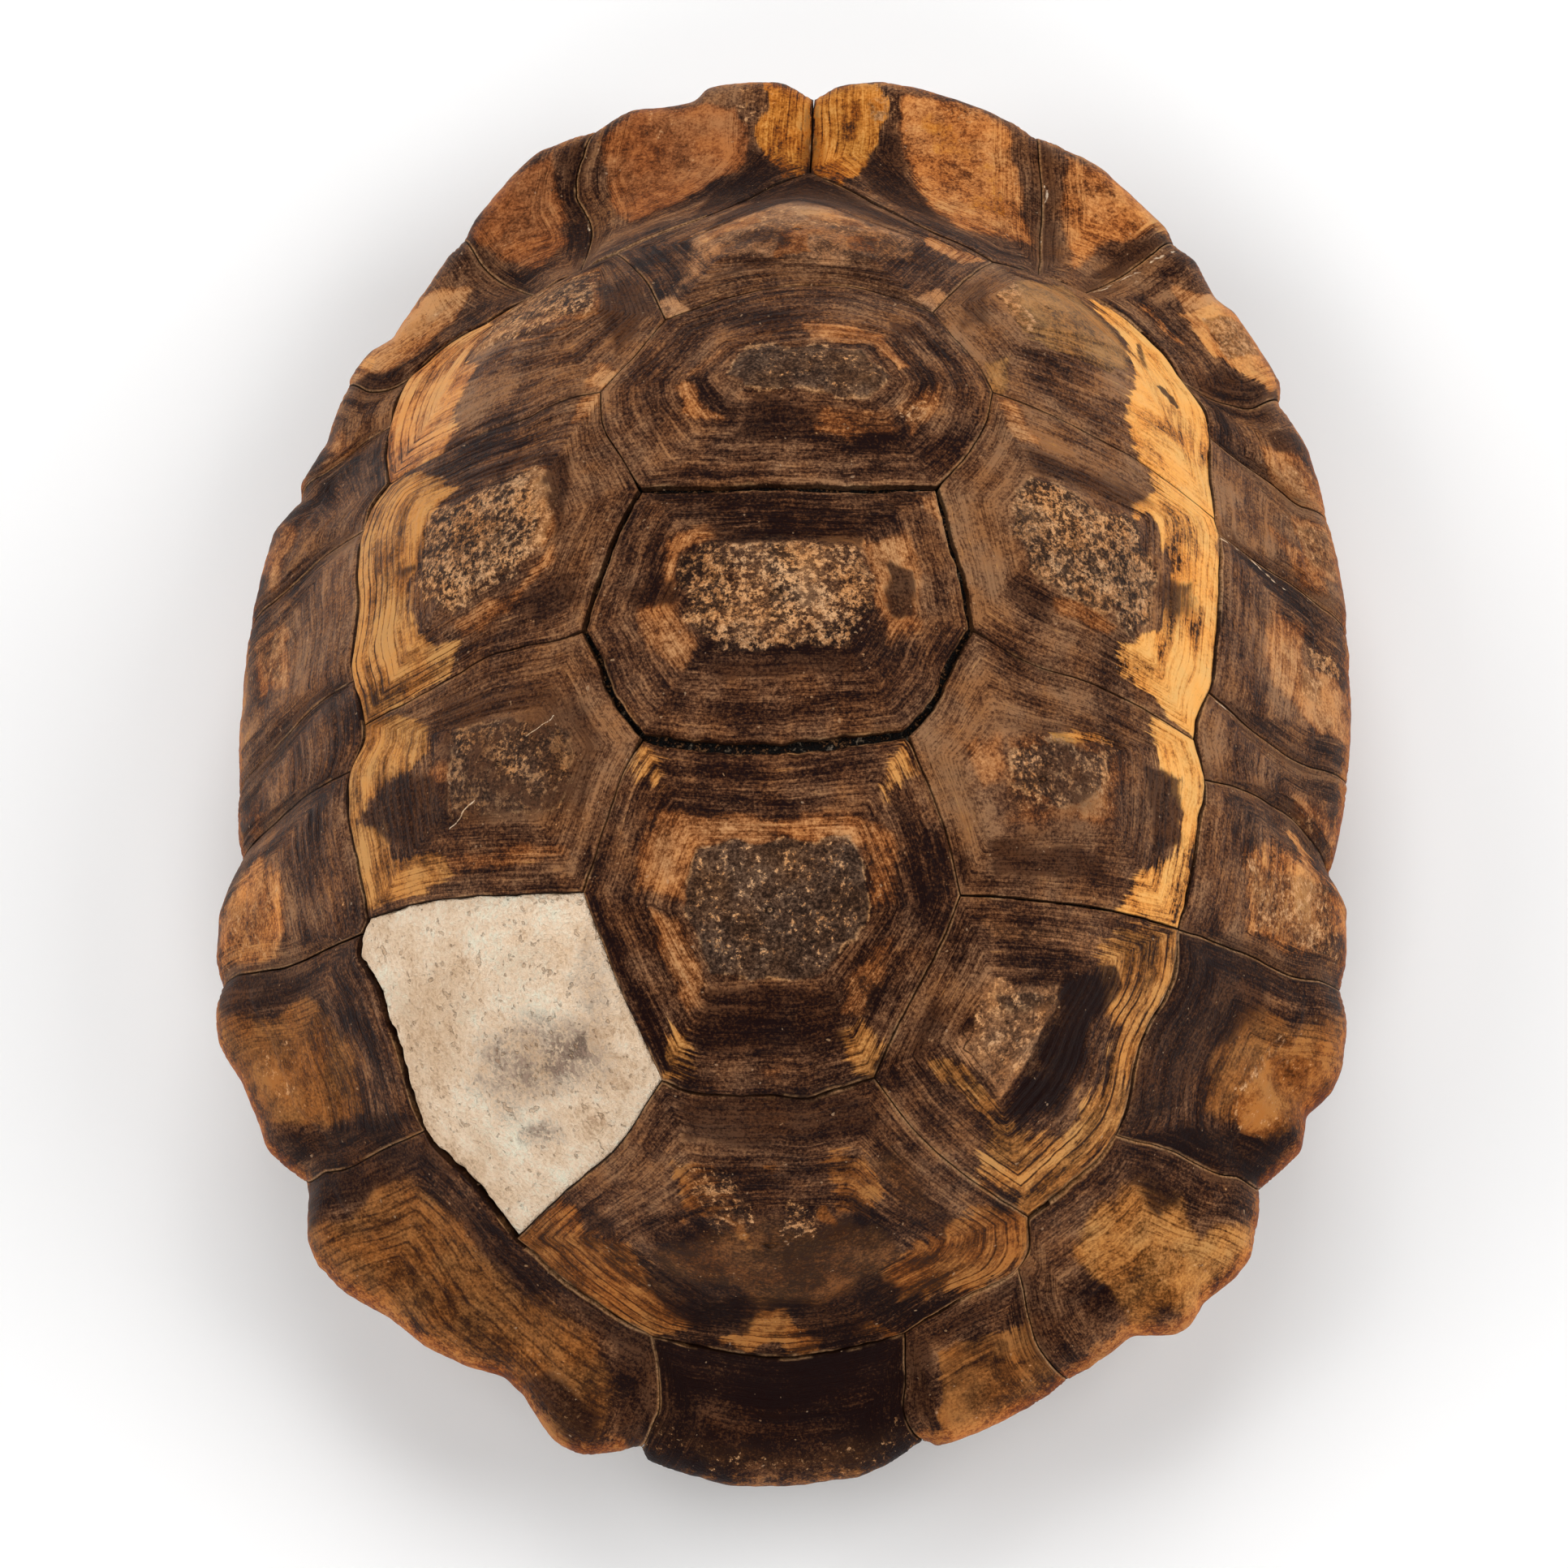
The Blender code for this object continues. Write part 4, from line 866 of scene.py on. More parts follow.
backScutes = {
    "relief": 0.09,  # height of the growth bands, mm
    "line": 0.03,  # height of the yearly lines, mm
    "swell": 1.0,  # rise towards the areola, mm
    "step": 0.16,  # rise at the areola's edge, mm
    "thick": 0.95,
    "rows": 90,  # from the areola's edge to the seam
    "areolaRows": 24,
    # yearly lines from the areola to the seam
    "years": {"vertebral": 10.0, "costal": 13.0},
    # where the even rows end and the ones beside the seam, mm from it
    "evenTo": 0.9,
    "lastRows": (0.62, 0.42, 0.27, 0.15, 0.06, 0.0),
    "roll": (0.08, 0.8),  # how far the last bit beside the seam rolls in, and over how many mm
    # how much lighter each scute is, its amber and its glow, and how strong its lines are
    "tones": {
        "vertebral_scute_1": (0.02, "rust", "clay", 1.2),
        "vertebral_scute_2": (0.01, "rust", "rust", 1.0),
        "vertebral_scute_3": (-0.01, "rust", "rust", 1.0),
        "vertebral_scute_4": (-0.02, "honey", "rust", 1.0),
        "vertebral_scute_5": (-0.04, "russet", "umber", 1.4),
        "costal_scute_right_1": (0.16, "straw", "olive", 0.6),
        "costal_scute_right_2": (0.1, "straw", "rust", 0.9),
        "costal_scute_right_3": (0.11, "straw", "rust", 0.6),
        "costal_scute_right_4": (-0.03, "honey", "clay", 1.8),
        "costal_scute_left_1": (0.04, "orange", "rust", 1.2),
        "costal_scute_left_2": (0.03, "honey", "rust", 1.8),
        "costal_scute_left_3": (0.06, "honey", "rust", 0.8),
    },
    # the seams around each scute, in order
    "pieces": {
        "vertebral_scute_1": ("v1_mr", "v1_c1r", "v1_v2", "v1_c1l", "v1_ml"),
        "vertebral_scute_2": ("v1_v2", "v2_c1r", "v2_c2r", "v2_v3", "v2_c2l", "v2_c1l"),
        "vertebral_scute_3": ("v2_v3", "v3_c2r", "v3_c3r", "v3_v4", "v3_c3l", "v3_c2l"),
        "vertebral_scute_4": ("v3_v4", "v4_c3r", "v4_c4r", "v4_v5", "v4_c4l", "v4_c3l"),
        "vertebral_scute_5": ("v4_v5", "v5_c4r", "v5_mr", "v5_s", "v5_ml", "v5_c4l"),
        "costal_scute_right_1": ("v1_c1r", "c1r_m", "c1_c2r", "v2_c1r"),
        "costal_scute_right_2": ("c1_c2r", "c2r_m", "c2_c3r", "v3_c2r", "v2_c2r"),
        "costal_scute_right_3": ("c2_c3r", "c3r_m", "c3_c4r", "v4_c3r", "v3_c3r"),
        "costal_scute_right_4": ("c3_c4r", "c4r_m", "v5_c4r", "v4_c4r"),
        "costal_scute_left_1": ("v1_c1l", "v2_c1l", "c1_c2l", "c1l_m"),
        "costal_scute_left_2": ("c1_c2l", "v2_c2l", "v3_c2l", "c2_c3l", "c2l_m"),
        "costal_scute_left_3": ("c2_c3l", "v3_c3l", "v4_c3l", "c3_c4l", "c3l_m"),
    },
}
# corners of each areola, one for each corner of its outline
areolaSpan = {
    "vertebral_scute_1": ((1.5, 52), (13, 46), (10, 41), (-6, 41), (-9, 45.5)),
    "vertebral_scute_2": ((-2, 27.5), (9, 28.5), (11.5, 25), (9.5, 22.5), (-2, 23), (-4, 25)),
    "vertebral_scute_3": ((-5.5, 6), (8.5, 6), (11, -0.5), (8.5, -5), (-5, -5), (-8, -0.5)),
    "vertebral_scute_4": ((-5.5, -24.5), (8, -24.5), (10.5, -30), (6, -36), (-3.5, -36.5), (-7.5, -30)),
    "vertebral_scute_5": ((-5, -53), (8, -52.5), (14.5, -54.5), (5, -58.5), (-5, -58.5), (-13, -54.5)),
    "costal_scute_right_1": ((24, 43.5), (34, 36.5), (24.5, 35), (21, 39)),
    "costal_scute_right_2": ((25, 16), (35.5, 15.5), (35.5, 2), (24, 5.5), (22.5, 12)),
    "costal_scute_right_3": ((22, -11), (33.5, -10), (33.5, -18.5), (21.5, -22), (19, -15.5)),
    "costal_scute_right_4": ((21.5, -34.5), (28.5, -33), (22, -43), (18.5, -39)),
    "costal_scute_left_1": ((-18, 43.5), (-17, 36.5), (-21, 34.5), (-30.5, 37.5)),
    "costal_scute_left_2": ((-21, 16), (-19.5, 10.5), (-21, 6.5), (-32, 3.5), (-33, 16)),
    "costal_scute_left_3": ((-20.5, -10), (-18, -14.5), (-20.5, -20), (-30.5, -18), (-31.5, -9)),
}
# fields of colour: kind, softness in mm, strength, then x and y of each corner
backPatches = {
    "vertebral_scute_1": (
        ("dark", 0.8, 0.8, 2, 61.5, 6.5, 57.5, 11, 51.5, 14, 48.5, 11, 48.5, 5.5, 50.5, 1.5, 51, -2.5, 49.5,
         -7, 47.5, -6.5, 50, -2.5, 56.5),
        ("glow", 1, 1.05, -8.5, 47.5, 1.5, 50, 9.5, 47.5, 13.5, 46, 13, 42.5, 6.5, 41, 0, 41, -6, 42, -8.5,
         38.5, -9.5, 35, -10.5, 35, -9.5, 39.5, -8.5, 44),
        ("amber", 0.5, 0.9, -0.5, 45, 2.5, 45.5, 3.5, 41.5, -0.5, 41),
        ("amber", 0.4, 0.7, 6.5, 44.5, 9.5, 45, 10, 42.5, 7, 42),
        ("amber", 0.3, 0.9, -7.8, 46.2, -2.4, 48, -1.8, 46.6, -7.2, 44.4),
        ("amber", 0.3, 0.8, 2, 48.4, 7.2, 48.2, 8.8, 46.2, 3.2, 46.6),
        ("crust", 0.7, 0.38, -8, 47, 1.5, 50, 10, 47, 8, 44.5, 1.5, 45.5, -5.5, 44),
        ("glow", 0.8, 0.5, -0.5, 45.5, 5.5, 46, 7, 41.5, -0.5, 41),
        ("amber", 0.9, 0.42, -5.5, 46, 3, 46.5, 10.5, 45, 10.5, 42.5, 3.5, 41.5, -5.5, 42.5),
        ("dark", 0.8, 0.3, -13, 44, -9.5, 45, -8.5, 40.5, -10.5, 36.5),
        ("dark", 0.8, 0.25, 13.5, 43.5, 18.5, 44, 16, 38.5, 12.5, 39.5),
        ("dark", 0.5, 0.7, -6, 39.5, -0.5, 41.5, 0.5, 40.5, -6.5, 38.5),
        ("glow", 0.5, 1.5, -12, 36.5, -10, 37.5, -8, 35, -10, 33.5),
        ("glow", 0.5, 1.6, 13, 37, 15.5, 39, 17, 38, 15.5, 35),
        ("amber", 0.3, 1.3, 14, 47.8, 20.4, 45.4, 18.4, 44.2, 14, 45.8),
    ),
    "vertebral_scute_2": (
        ("grey", 0.5, 0.8, -4, 25, -2, 28.5, 9, 28.5, 11.5, 25, 9.5, 22.5, -2, 23),
        ("crust", 0.5, 0.28, -1.5, 29.5, 8.5, 29.5, 11, 25, 9, 22.5, -1.5, 24.5),
        ("glow", 0.6, 1.2, 3, 32, 10.5, 31, 13, 27, 12, 26.5, 10, 29.5, 4, 29.5),
        ("amber", 0.4, 0.9, 4, 31.5, 10.5, 31, 12.5, 27, 12, 26.5, 10, 30, 4, 30),
        ("glow", 0.8, 1.1, -9, 24.5, -7.5, 25, -6, 22, -4, 20, -6.5, 20, -8, 21.5),
        ("glow", 0.8, 0.6, -8, 26, -5, 29, -4.5, 28.5, -7, 25),
        ("glow", 1, 0.8, 12.5, 22, 16, 26, 16.5, 23.5, 14, 19),
        ("crust", 0.8, 0.36, 12.5, 21.5, 16, 25.5, 16.5, 24, 14, 19.5, 12.5, 20),
        ("glow", 1, 0.6, 5, 21.5, 12, 22, 13, 19.5, 9, 17.5, 5, 19),
        ("dark", 0.8, 0.9, -4, 34, 4, 34, 2, 31, -4, 31.5),
        ("dark", 0.8, 0.9, -1, 23, 5, 20.5, 2, 17, -3, 17.5),
        ("dark", 0.6, 0.8, 11.5, 33.5, 14, 33, 13.5, 31, 11.5, 31),
        ("glow", 0.5, 0.7, 4.5, 19.5, 9, 19, 9, 18, 4.5, 18.5),
        ("pale", 0.22, 0.8, -3.8, 25.2, -2.4, 23, 1.6, 23.2, -2.4, 23),
    ),
    "vertebral_scute_3": (
        ("crust", 0.5, 0.62, -8, 3.5, -5.5, 6, 9.5, 6, 11, -0.5, 8, -5.5, -4, -5.5, -7, -2),
        ("grey", 0.7, 0.9, -7, 1, -3.5, 2, -2.5, -2, -6, -2),
        ("grey", 0.6, 1, 0.5, 6.5, 3, 6.5, 4, -3, 1, -3),
        ("dark", 0.9, 0.9, -5.5, 7.5, 9.5, 7.5, 9.5, 6, -3, 5.5),
        ("amber", 0.5, 0.8, 5, 6.5, 10, 6.5, 10, 6, 5.5, 6),
        ("dark", 0.9, 0.8, -13, 2, -8, 2.5, -8, -1, -12.5, -0.5),
        ("glow", 1, 0.9, -9, 7, -5.5, 8, -4, 7, -7.5, 4.5, -8.5, -0.5, -9.5, 0),
        ("glow", 1.2, 1, 10, 6, 13.5, 8, 15, 4, 14.5, -2.5, 11.5, -5, 11, -0.5),
        ("dark", 0.9, 0.9, 11.5, 4.5, 14.5, 4, 14.5, -1.5, 12, -2),
        ("glow", 1.2, 1, -12, 0, -8, -0.5, -5.5, -5, -7.5, -7.5, -10.5, -4.5),
        ("dark", 1, 0.7, -5, -6, 9.5, -5.5, 9, -8, -4, -8.5),
        ("glow", 1, 0.6, -4, -6.5, 1, -7, 9, -6, 9, -7, 1, -8, -4, -7.5),
        ("glow", 0.7, 0.6, 14.5, 12, 17, 12.5, 17.5, 9, 16, 9.5),
    ),
    "vertebral_scute_4": (
        ("glow", 1.2, 0.9, -10.5, -21, -5.5, -21, 2, -22, 8.5, -21, 12.5, -22.5, 13.5, -28.5, 10.5, -29, 9.5,
         -24.5, 2, -24, -5, -24.5, -7, -29, -11, -28),
        ("grey", 0.5, 1, -5.5, -24.5, 2, -24, 8.5, -23.5, 10, -27.5, 10.5, -30, 7, -35, 3.5, -36.5, -4,
         -35.5, -7, -30),
        ("dark", 0.25, 2, -13, -29.8, -10, -29.8, -7.2, -30.2, -10, -29.8),
        ("dark", 0.25, 2, 10.4, -29.6, 13.2, -29.2, 15.8, -28.6, 13.2, -29.2),
        ("crust", 0.6, 0.32, -5.5, -24.5, 8.5, -23.5, 10, -30, 6.5, -35.5, -3.5, -35.5, -7, -30),
        ("amber", 1.2, 0.62, -11, -14, -9, -15.5, -8.5, -19.5, -12, -17),
        ("amber", 1.2, 0.62, 12.5, -15, 14, -13.5, 15, -16.5, 12.5, -19.5, 11.5, -17),
        ("amber", 1.2, 0.85, -9, -44.5, -6, -44.5, -6, -40.5, -7.5, -40, -9, -42),
        ("amber", 1.2, 0.85, 11, -44, 8.5, -44, 8, -41.5, 9.5, -39.5, 12, -41.5),
        ("glow", 1, 0.9, -10, -30, -7.5, -31, -4.5, -36.5, -6, -39, -8, -36),
        ("glow", 1, 1, 11.5, -32.5, 13, -32, 10.5, -38, 7.5, -39.5, 8.5, -36.5),
        ("dark", 1, 0.9, -4.5, -37, 7.5, -37, 8, -42, -5, -42.5),
        ("glow", 0.8, 0.5, 0.5, -43.5, 2.5, -43.5, 2.5, -45, 0.5, -45),
    ),
    "vertebral_scute_5": (
        ("dark", 0.9, 0.72, -7.5, -46, 9.5, -45.5, 11.5, -47, 8, -48.5, -2.5, -49.5, -7, -48),
        ("amber", 0.9, 0.72, -8.5, -49.5, -4, -50.5, -2, -52.5, -1, -55.5, -5.5, -54, -7.5, -53.5),
        ("crust", 0.8, 0.5, -8, -50, -4, -50.5, -0.5, -53, -1, -55, -4.5, -55, -6, -53),
        ("crust", 0.7, 0.55, 1.5, -52.5, 5, -52.5, 4.5, -54.5, 1.5, -55),
        ("amber", 0.4, 0.8, 5, -52.5, 6, -52.5, 8, -54.5, 7, -54.5),
        ("amber", 0.8, 0.6, 0.5, -50, 2, -50, 2, -51.5, 0, -51.5),
        ("amber", 0.9, 0.7, 5.5, -50, 9.5, -49, 11.5, -51.5, 9.5, -53.5, 7.5, -53),
        ("glow", 1.2, 1, -11, -55, -6, -54.5, 11, -53.5, 13, -55, 9, -57.5, 2.5, -59, -3.5, -59, -9, -57),
        ("amber", 1.1, 1.25, -24.5, -51.5, -19.5, -51, -17, -53, -13, -54.5, -12, -56, -8, -58.5, -6, -60,
         -11.5, -60.5, -19.5, -57, -23.5, -53),
        ("amber", 1.1, 1.2, 25, -50.5, 20.5, -51, 16, -53.5, 11.5, -56, 10, -57.5, 12.5, -58, 19.5, -56,
         23.5, -53.5),
        ("dark", 0.8, 1.1, -11.5, -56.5, -5, -57.5, -0.5, -59, -1.5, -60.5, -7, -60.5, -10.5, -58.5),
        ("dark", 0.8, 1.1, 5, -58.5, 10.5, -56.5, 13, -57, 9, -60.5, 4, -61, 3, -59.5),
        ("amber", 0.6, 1.05, -2, -59, 2, -59, 2.5, -60.5, 5, -61, 5, -62, -4.5, -61.5, -5.5, -61, -2.5,
         -60.5),
        ("amber", 0.6, 1, 8.5, -59, 12, -60, 10.5, -60.5, 8, -60.5),
        ("dark", 0.6, 0.9, -17, -51.5, -14, -53, -14, -54, -17, -53),
        ("dark", 0.6, 0.9, 13.5, -53, 17.5, -52, 17, -53.5, 14.5, -53.5),
        ("glow", 1, 0.6, 9.5, -50.5, 14, -53, 17, -52.5, 14.5, -50, 12, -48),
    ),
    "costal_scute_right_1": (
        ("glow", 0.7, 1.3, 24, 43.5, 27.5, 46.5, 31, 43.5, 34, 38, 33.5, 34, 30.5, 33, 24.5, 34.5, 21.5, 39),
        ("crust", 0.5, 0.72, 21, 39, 23, 42.5, 23.5, 38.5, 26.5, 35.5, 24.5, 34.5),
        ("glow", 0.4, 1, 24, 34, 27.5, 34, 32.5, 34, 32, 32.5, 27.5, 32.5),
        ("amber", 1, 1.4, 30.5, 46, 35, 45, 38.5, 41, 42.5, 36, 43, 26.5, 43, 20.5, 38, 20, 35.5, 22.5, 34.5,
         27, 34.5, 34, 34, 40),
        ("dark", 0.3, 1.1, 37, 35.2, 37.8, 35.8, 39.4, 34, 38.8, 33.4),
        ("dark", 0.4, 0.7, 35, 41, 36, 42, 36.5, 37.5, 35.5, 37),
        ("glow", 0.8, 1.1, 20.5, 29.5, 22.5, 31, 23, 26.5, 21.5, 26),
        ("dark", 1, 0.6, 17, 40, 20.5, 42, 21, 35, 18.5, 33.5),
        ("dark", 1, 0.6, 35, 23.5, 38, 21, 37, 19, 33, 19.5, 30.5, 21),
    ),
    "costal_scute_right_2": (
        ("grey", 0.6, 1, 23, 12, 25, 16, 27.5, 16, 31, 14, 34.5, 14.5, 36.5, 10.5, 36.5, 7, 35, 1.5, 33, 4,
         29.5, 3.5, 24.5, 5.5),
        ("crust", 0.6, 0.66, 23, 12, 25, 16, 27.5, 16, 31, 14, 34.5, 14.5, 36.5, 10.5, 36.5, 7, 35, 2, 33, 4,
         29.5, 3.5, 24.5, 5.5),
        ("amber", 1, 1.4, 37, 23, 43, 21.5, 43.5, 15, 43.5, 9, 43, 0, 41, -5.5, 37, -3, 34, -2, 33.5, 1,
         35.5, 1.5, 37.5, 4.5, 38.5, 11, 37.5, 15.5, 36, 17, 34.5, 15, 35, 17, 37, 19.5),
        ("dark", 1.2, 0.85, 37, 9.5, 41, 11.5, 40.5, 6.5, 38, 5, 36.5, 7.5),
        ("dark", 1.3, 0.7, 24, 20, 31, 19.5, 35.5, 19.5, 37, 18, 34, 15.5, 30.5, 16, 24.5, 17),
        ("glow", 0.9, 1.1, 22, 25.5, 23.5, 26, 25.5, 20.5, 24, 20),
        ("glow", 0.8, 1, 27, 3.5, 30.5, 3.5, 33.5, 2.5, 32.5, 1.5, 27.5, 2),
        ("dark", 0.8, 0.6, 23, 4.5, 27.5, 3, 27, 0.5, 22.5, 2.5),
    ),
    "costal_scute_right_3": (
        ("grey", 0.8, 0.85, 23, -13, 27.5, -11, 32.5, -11.5, 32, -14.5, 27.5, -18, 23.5, -17),
        ("crust", 0.7, 0.45, 23, -12.5, 27.5, -10.5, 33, -10, 33, -17, 23, -19),
        ("glow", 0.9, 1.1, 28.5, -15.5, 32.5, -13, 33, -17, 29.5, -18.5),
        ("dark", 1.5, 0.3, 20, -10, 35.5, -7, 37, -18.5, 21, -24),
        ("glow", 1.6, 0.7, 22.5, -11.5, 34, -9, 33.5, -17.5, 23, -20.5),
        ("crust", 0.8, 0.35, 22.5, -11.5, 34, -8.5, 33, -11, 23, -13.5),
        ("amber", 0.5, 0.8, 27, -10.5, 32.5, -9, 32.5, -10, 27, -11.5),
        ("glow", 1, 0.8, 19, -13.5, 22, -11.5, 23, -16, 20.5, -17),
        ("amber", 1.2, 1.2, 37, -5, 41.5, -5, 42.5, -8.5, 41.5, -17, 40, -24, 34, -25, 35.5, -21, 39, -18,
         39.5, -13.5, 38, -10),
        ("dark", 0.8, 1, 36, -10.5, 39.5, -10, 39.5, -17, 36.5, -19),
        ("dark", 0.8, 0.8, 21.5, -22, 32.5, -20, 33, -23, 22, -25),
    ),
    "costal_scute_right_4": (
        ("glow", 0.8, 1.15, 20, -37.5, 21.5, -34.5, 28, -33, 28.5, -33.5, 27.5, -37, 25, -41, 22, -43, 20,
         -41.5, 18, -40),
        ("grey", 0.7, 0.75, 21.5, -35.5, 28, -33.5, 27.5, -35, 22, -37),
        ("crust", 0.5, 0.46, 20, -37.5, 21.5, -34.5, 28, -33, 28, -33.5, 27.5, -37, 25, -41, 22.5, -42.5,
         20.5, -41, 19, -40),
        ("dark", 0.22, 1.7, 19.8, -37.6, 19.2, -40, 22.2, -42, 19.2, -40),
        ("dark", 0.22, 1.4, 20.6, -37.8, 20.4, -39.4, 22.6, -40.8, 20.4, -39.4),
        ("dark", 0.8, 0.6, 22, -36, 27, -34.5, 26.5, -36, 22.5, -37),
        ("dark", 1, 2, 28.5, -32.5, 33, -30.5, 33.5, -32, 30.5, -36, 30, -40, 27.5, -43, 23, -44, 25.5,
         -39.5),
        ("amber", 1.8, 0.92, 31.5, -29, 35.5, -25.5, 40, -24, 39, -28.5, 36.5, -35, 33.5, -43, 29.5, -47, 25,
         -50.5, 20, -49, 21.5, -46.5, 21, -44.5, 23, -44.5, 25.5, -45.5, 29, -44, 32.5, -39, 33.5, -35, 31.5,
         -33),
        ("amber", 0.8, 0.8, 15.5, -41, 18.5, -41, 21.5, -43.5, 21, -45, 16.5, -43.5),
        ("glow", 1, 0.6, 20.5, -29.5, 31.5, -28, 32.5, -29.5, 22, -31.5),
        ("dark", 0.8, 0.6, 13.5, -41.5, 16.5, -37, 18, -37.5, 15, -42),
        ("pale", 0.2, 1.2, 38.4, -29.8, 36.8, -35, 34.2, -42, 36.8, -35),
    ),
    "costal_scute_left_1": (
        ("grey", 0.8, 0.85, -18, 43, -17.5, 36.5, -21.5, 36.5, -27.5, 38.5, -28, 44, -24.5, 45.5),
        ("crust", 0.6, 0.62, -18, 43.5, -17, 36, -20.5, 36, -25.5, 35, -30.5, 37, -29.5, 43.5, -26, 46.5),
        ("glow", 0.8, 0.8, -18, 44, -16.5, 35.5, -20.5, 35.5, -30, 36.5, -31.5, 39.5, -29.5, 44, -25, 46.5),
        ("amber", 1.2, 1.25, -27, 49, -25, 47, -30, 44, -31.5, 37.5, -29.5, 34, -32, 30.5, -32.5, 23, -39,
         24.5, -40.5, 30.5, -39.5, 37, -37.5, 42.5, -34, 46),
        ("glow", 0.9, 1, -18, 27.5, -17, 29.5, -15, 28, -16, 25.5, -18, 26),
        ("glow", 0.4, 1, -30, 37.5, -24, 35, -17.5, 34.5, -23.5, 34.5),
        ("dark", 0.8, 0.7, -17.5, 41, -13.5, 40.5, -11.5, 35, -15, 29.5, -16.5, 34.5),
        ("dark", 0.9, 0.9, -32.5, 25, -28.5, 24.5, -24.5, 19.5, -27.5, 17.5, -32, 19),
        ("dark", 1, 0.6, -20, 27.5, -16.5, 23.5, -18, 21.5, -20.5, 25.5),
    ),
    "costal_scute_left_2": (
        ("crust", 0.6, 0.66, -33, 15.5, -24, 16.5, -22, 17, -19.5, 13, -20, 8.5, -23.5, 5, -30, 2.5, -33, 5,
         -34, 10),
        ("grey", 0.8, 0.9, -32.5, 14.5, -24, 15.5, -21.5, 13.5, -21, 9.5, -24, 6, -30, 4, -33, 8),
        ("glow", 0.6, 1.2, -23.5, 17, -21, 16.5, -19.5, 13.5, -20, 8.5, -21.5, 7.5, -21, 11, -22, 14.5),
        ("amber", 1, 1.4, -39, 25.5, -33, 21, -30.5, 18, -33, 15.5, -34, 10, -35.5, 9, -35, 5, -32, 0, -29.5,
         0, -30.5, -3, -35, -4, -39.5, -5, -41.5, 1, -41.5, 10, -42, 21),
        ("dark", 0.7, 0.8, -37.5, 11, -35.5, 11, -34, 10.5, -34, 9.5, -36, 9.5),
        ("glow", 0.7, 1.1, -18.5, 25.5, -16.5, 25.5, -16.5, 23.5, -19, 21.5),
        ("dark", 0.8, 0.9, -30.5, 19.5, -24.5, 19.5, -19, 18, -19, 12, -19.5, 8.5, -22, 18, -27.5, 17.5),
        ("dark", 1, 0.7, -23.5, 2.5, -18.5, 5, -17, 1, -21.5, -1),
        ("glow", 0.8, 0.9, -30, 2, -23.5, 4, -19.5, 7.5, -19.5, 6, -23.5, 2, -29, 0),
    ),
    "costal_scute_left_3": (
        ("dark", 1.2, 0.55, -31.5, -5, -19, -7, -14.5, -12.5, -16.5, -21, -29.5, -19),
        ("amber", 1, 1.3, -39.5, -4.5, -36, -5, -32.5, -8, -32, -11, -34.5, -11.5, -39, -12.5, -40, -14.5,
         -36, -16.5, -36, -20, -30.5, -21, -29, -23, -31.5, -23.5, -39, -23.5, -41, -17, -41.5, -8),
        ("dark", 0.8, 1.1, -39.5, -13.5, -34.5, -12, -29, -14.5, -29, -19, -32, -20, -36.5, -17.5),
        ("grey", 0.6, 1, -29.5, -9.5, -23, -10, -18, -12.5, -17.5, -17, -19.5, -20, -29, -18),
        ("crust", 0.6, 0.5, -29.5, -9.5, -19, -11, -17.5, -17, -18.5, -20.5, -29.5, -18.5),
        ("crust", 0.5, 0.85, -19.5, -11.5, -18, -13.5, -17.5, -16.5, -18.5, -16.5, -19.5, -14),
        ("glow", 1.2, 1, -31, -12.5, -26.5, -13, -26, -18.5, -29.5, -18, -31, -15.5),
        ("glow", 0.9, 0.7, -34.5, -20.5, -18, -23, -18, -24.5, -31, -23.5),
        ("pale", 0.15, 1.6, -22, -12.6, -18.8, -10.6),
        ("pale", 0.15, 1.6, -29.6, -19.2, -26.8, -17.4),
    ),
}


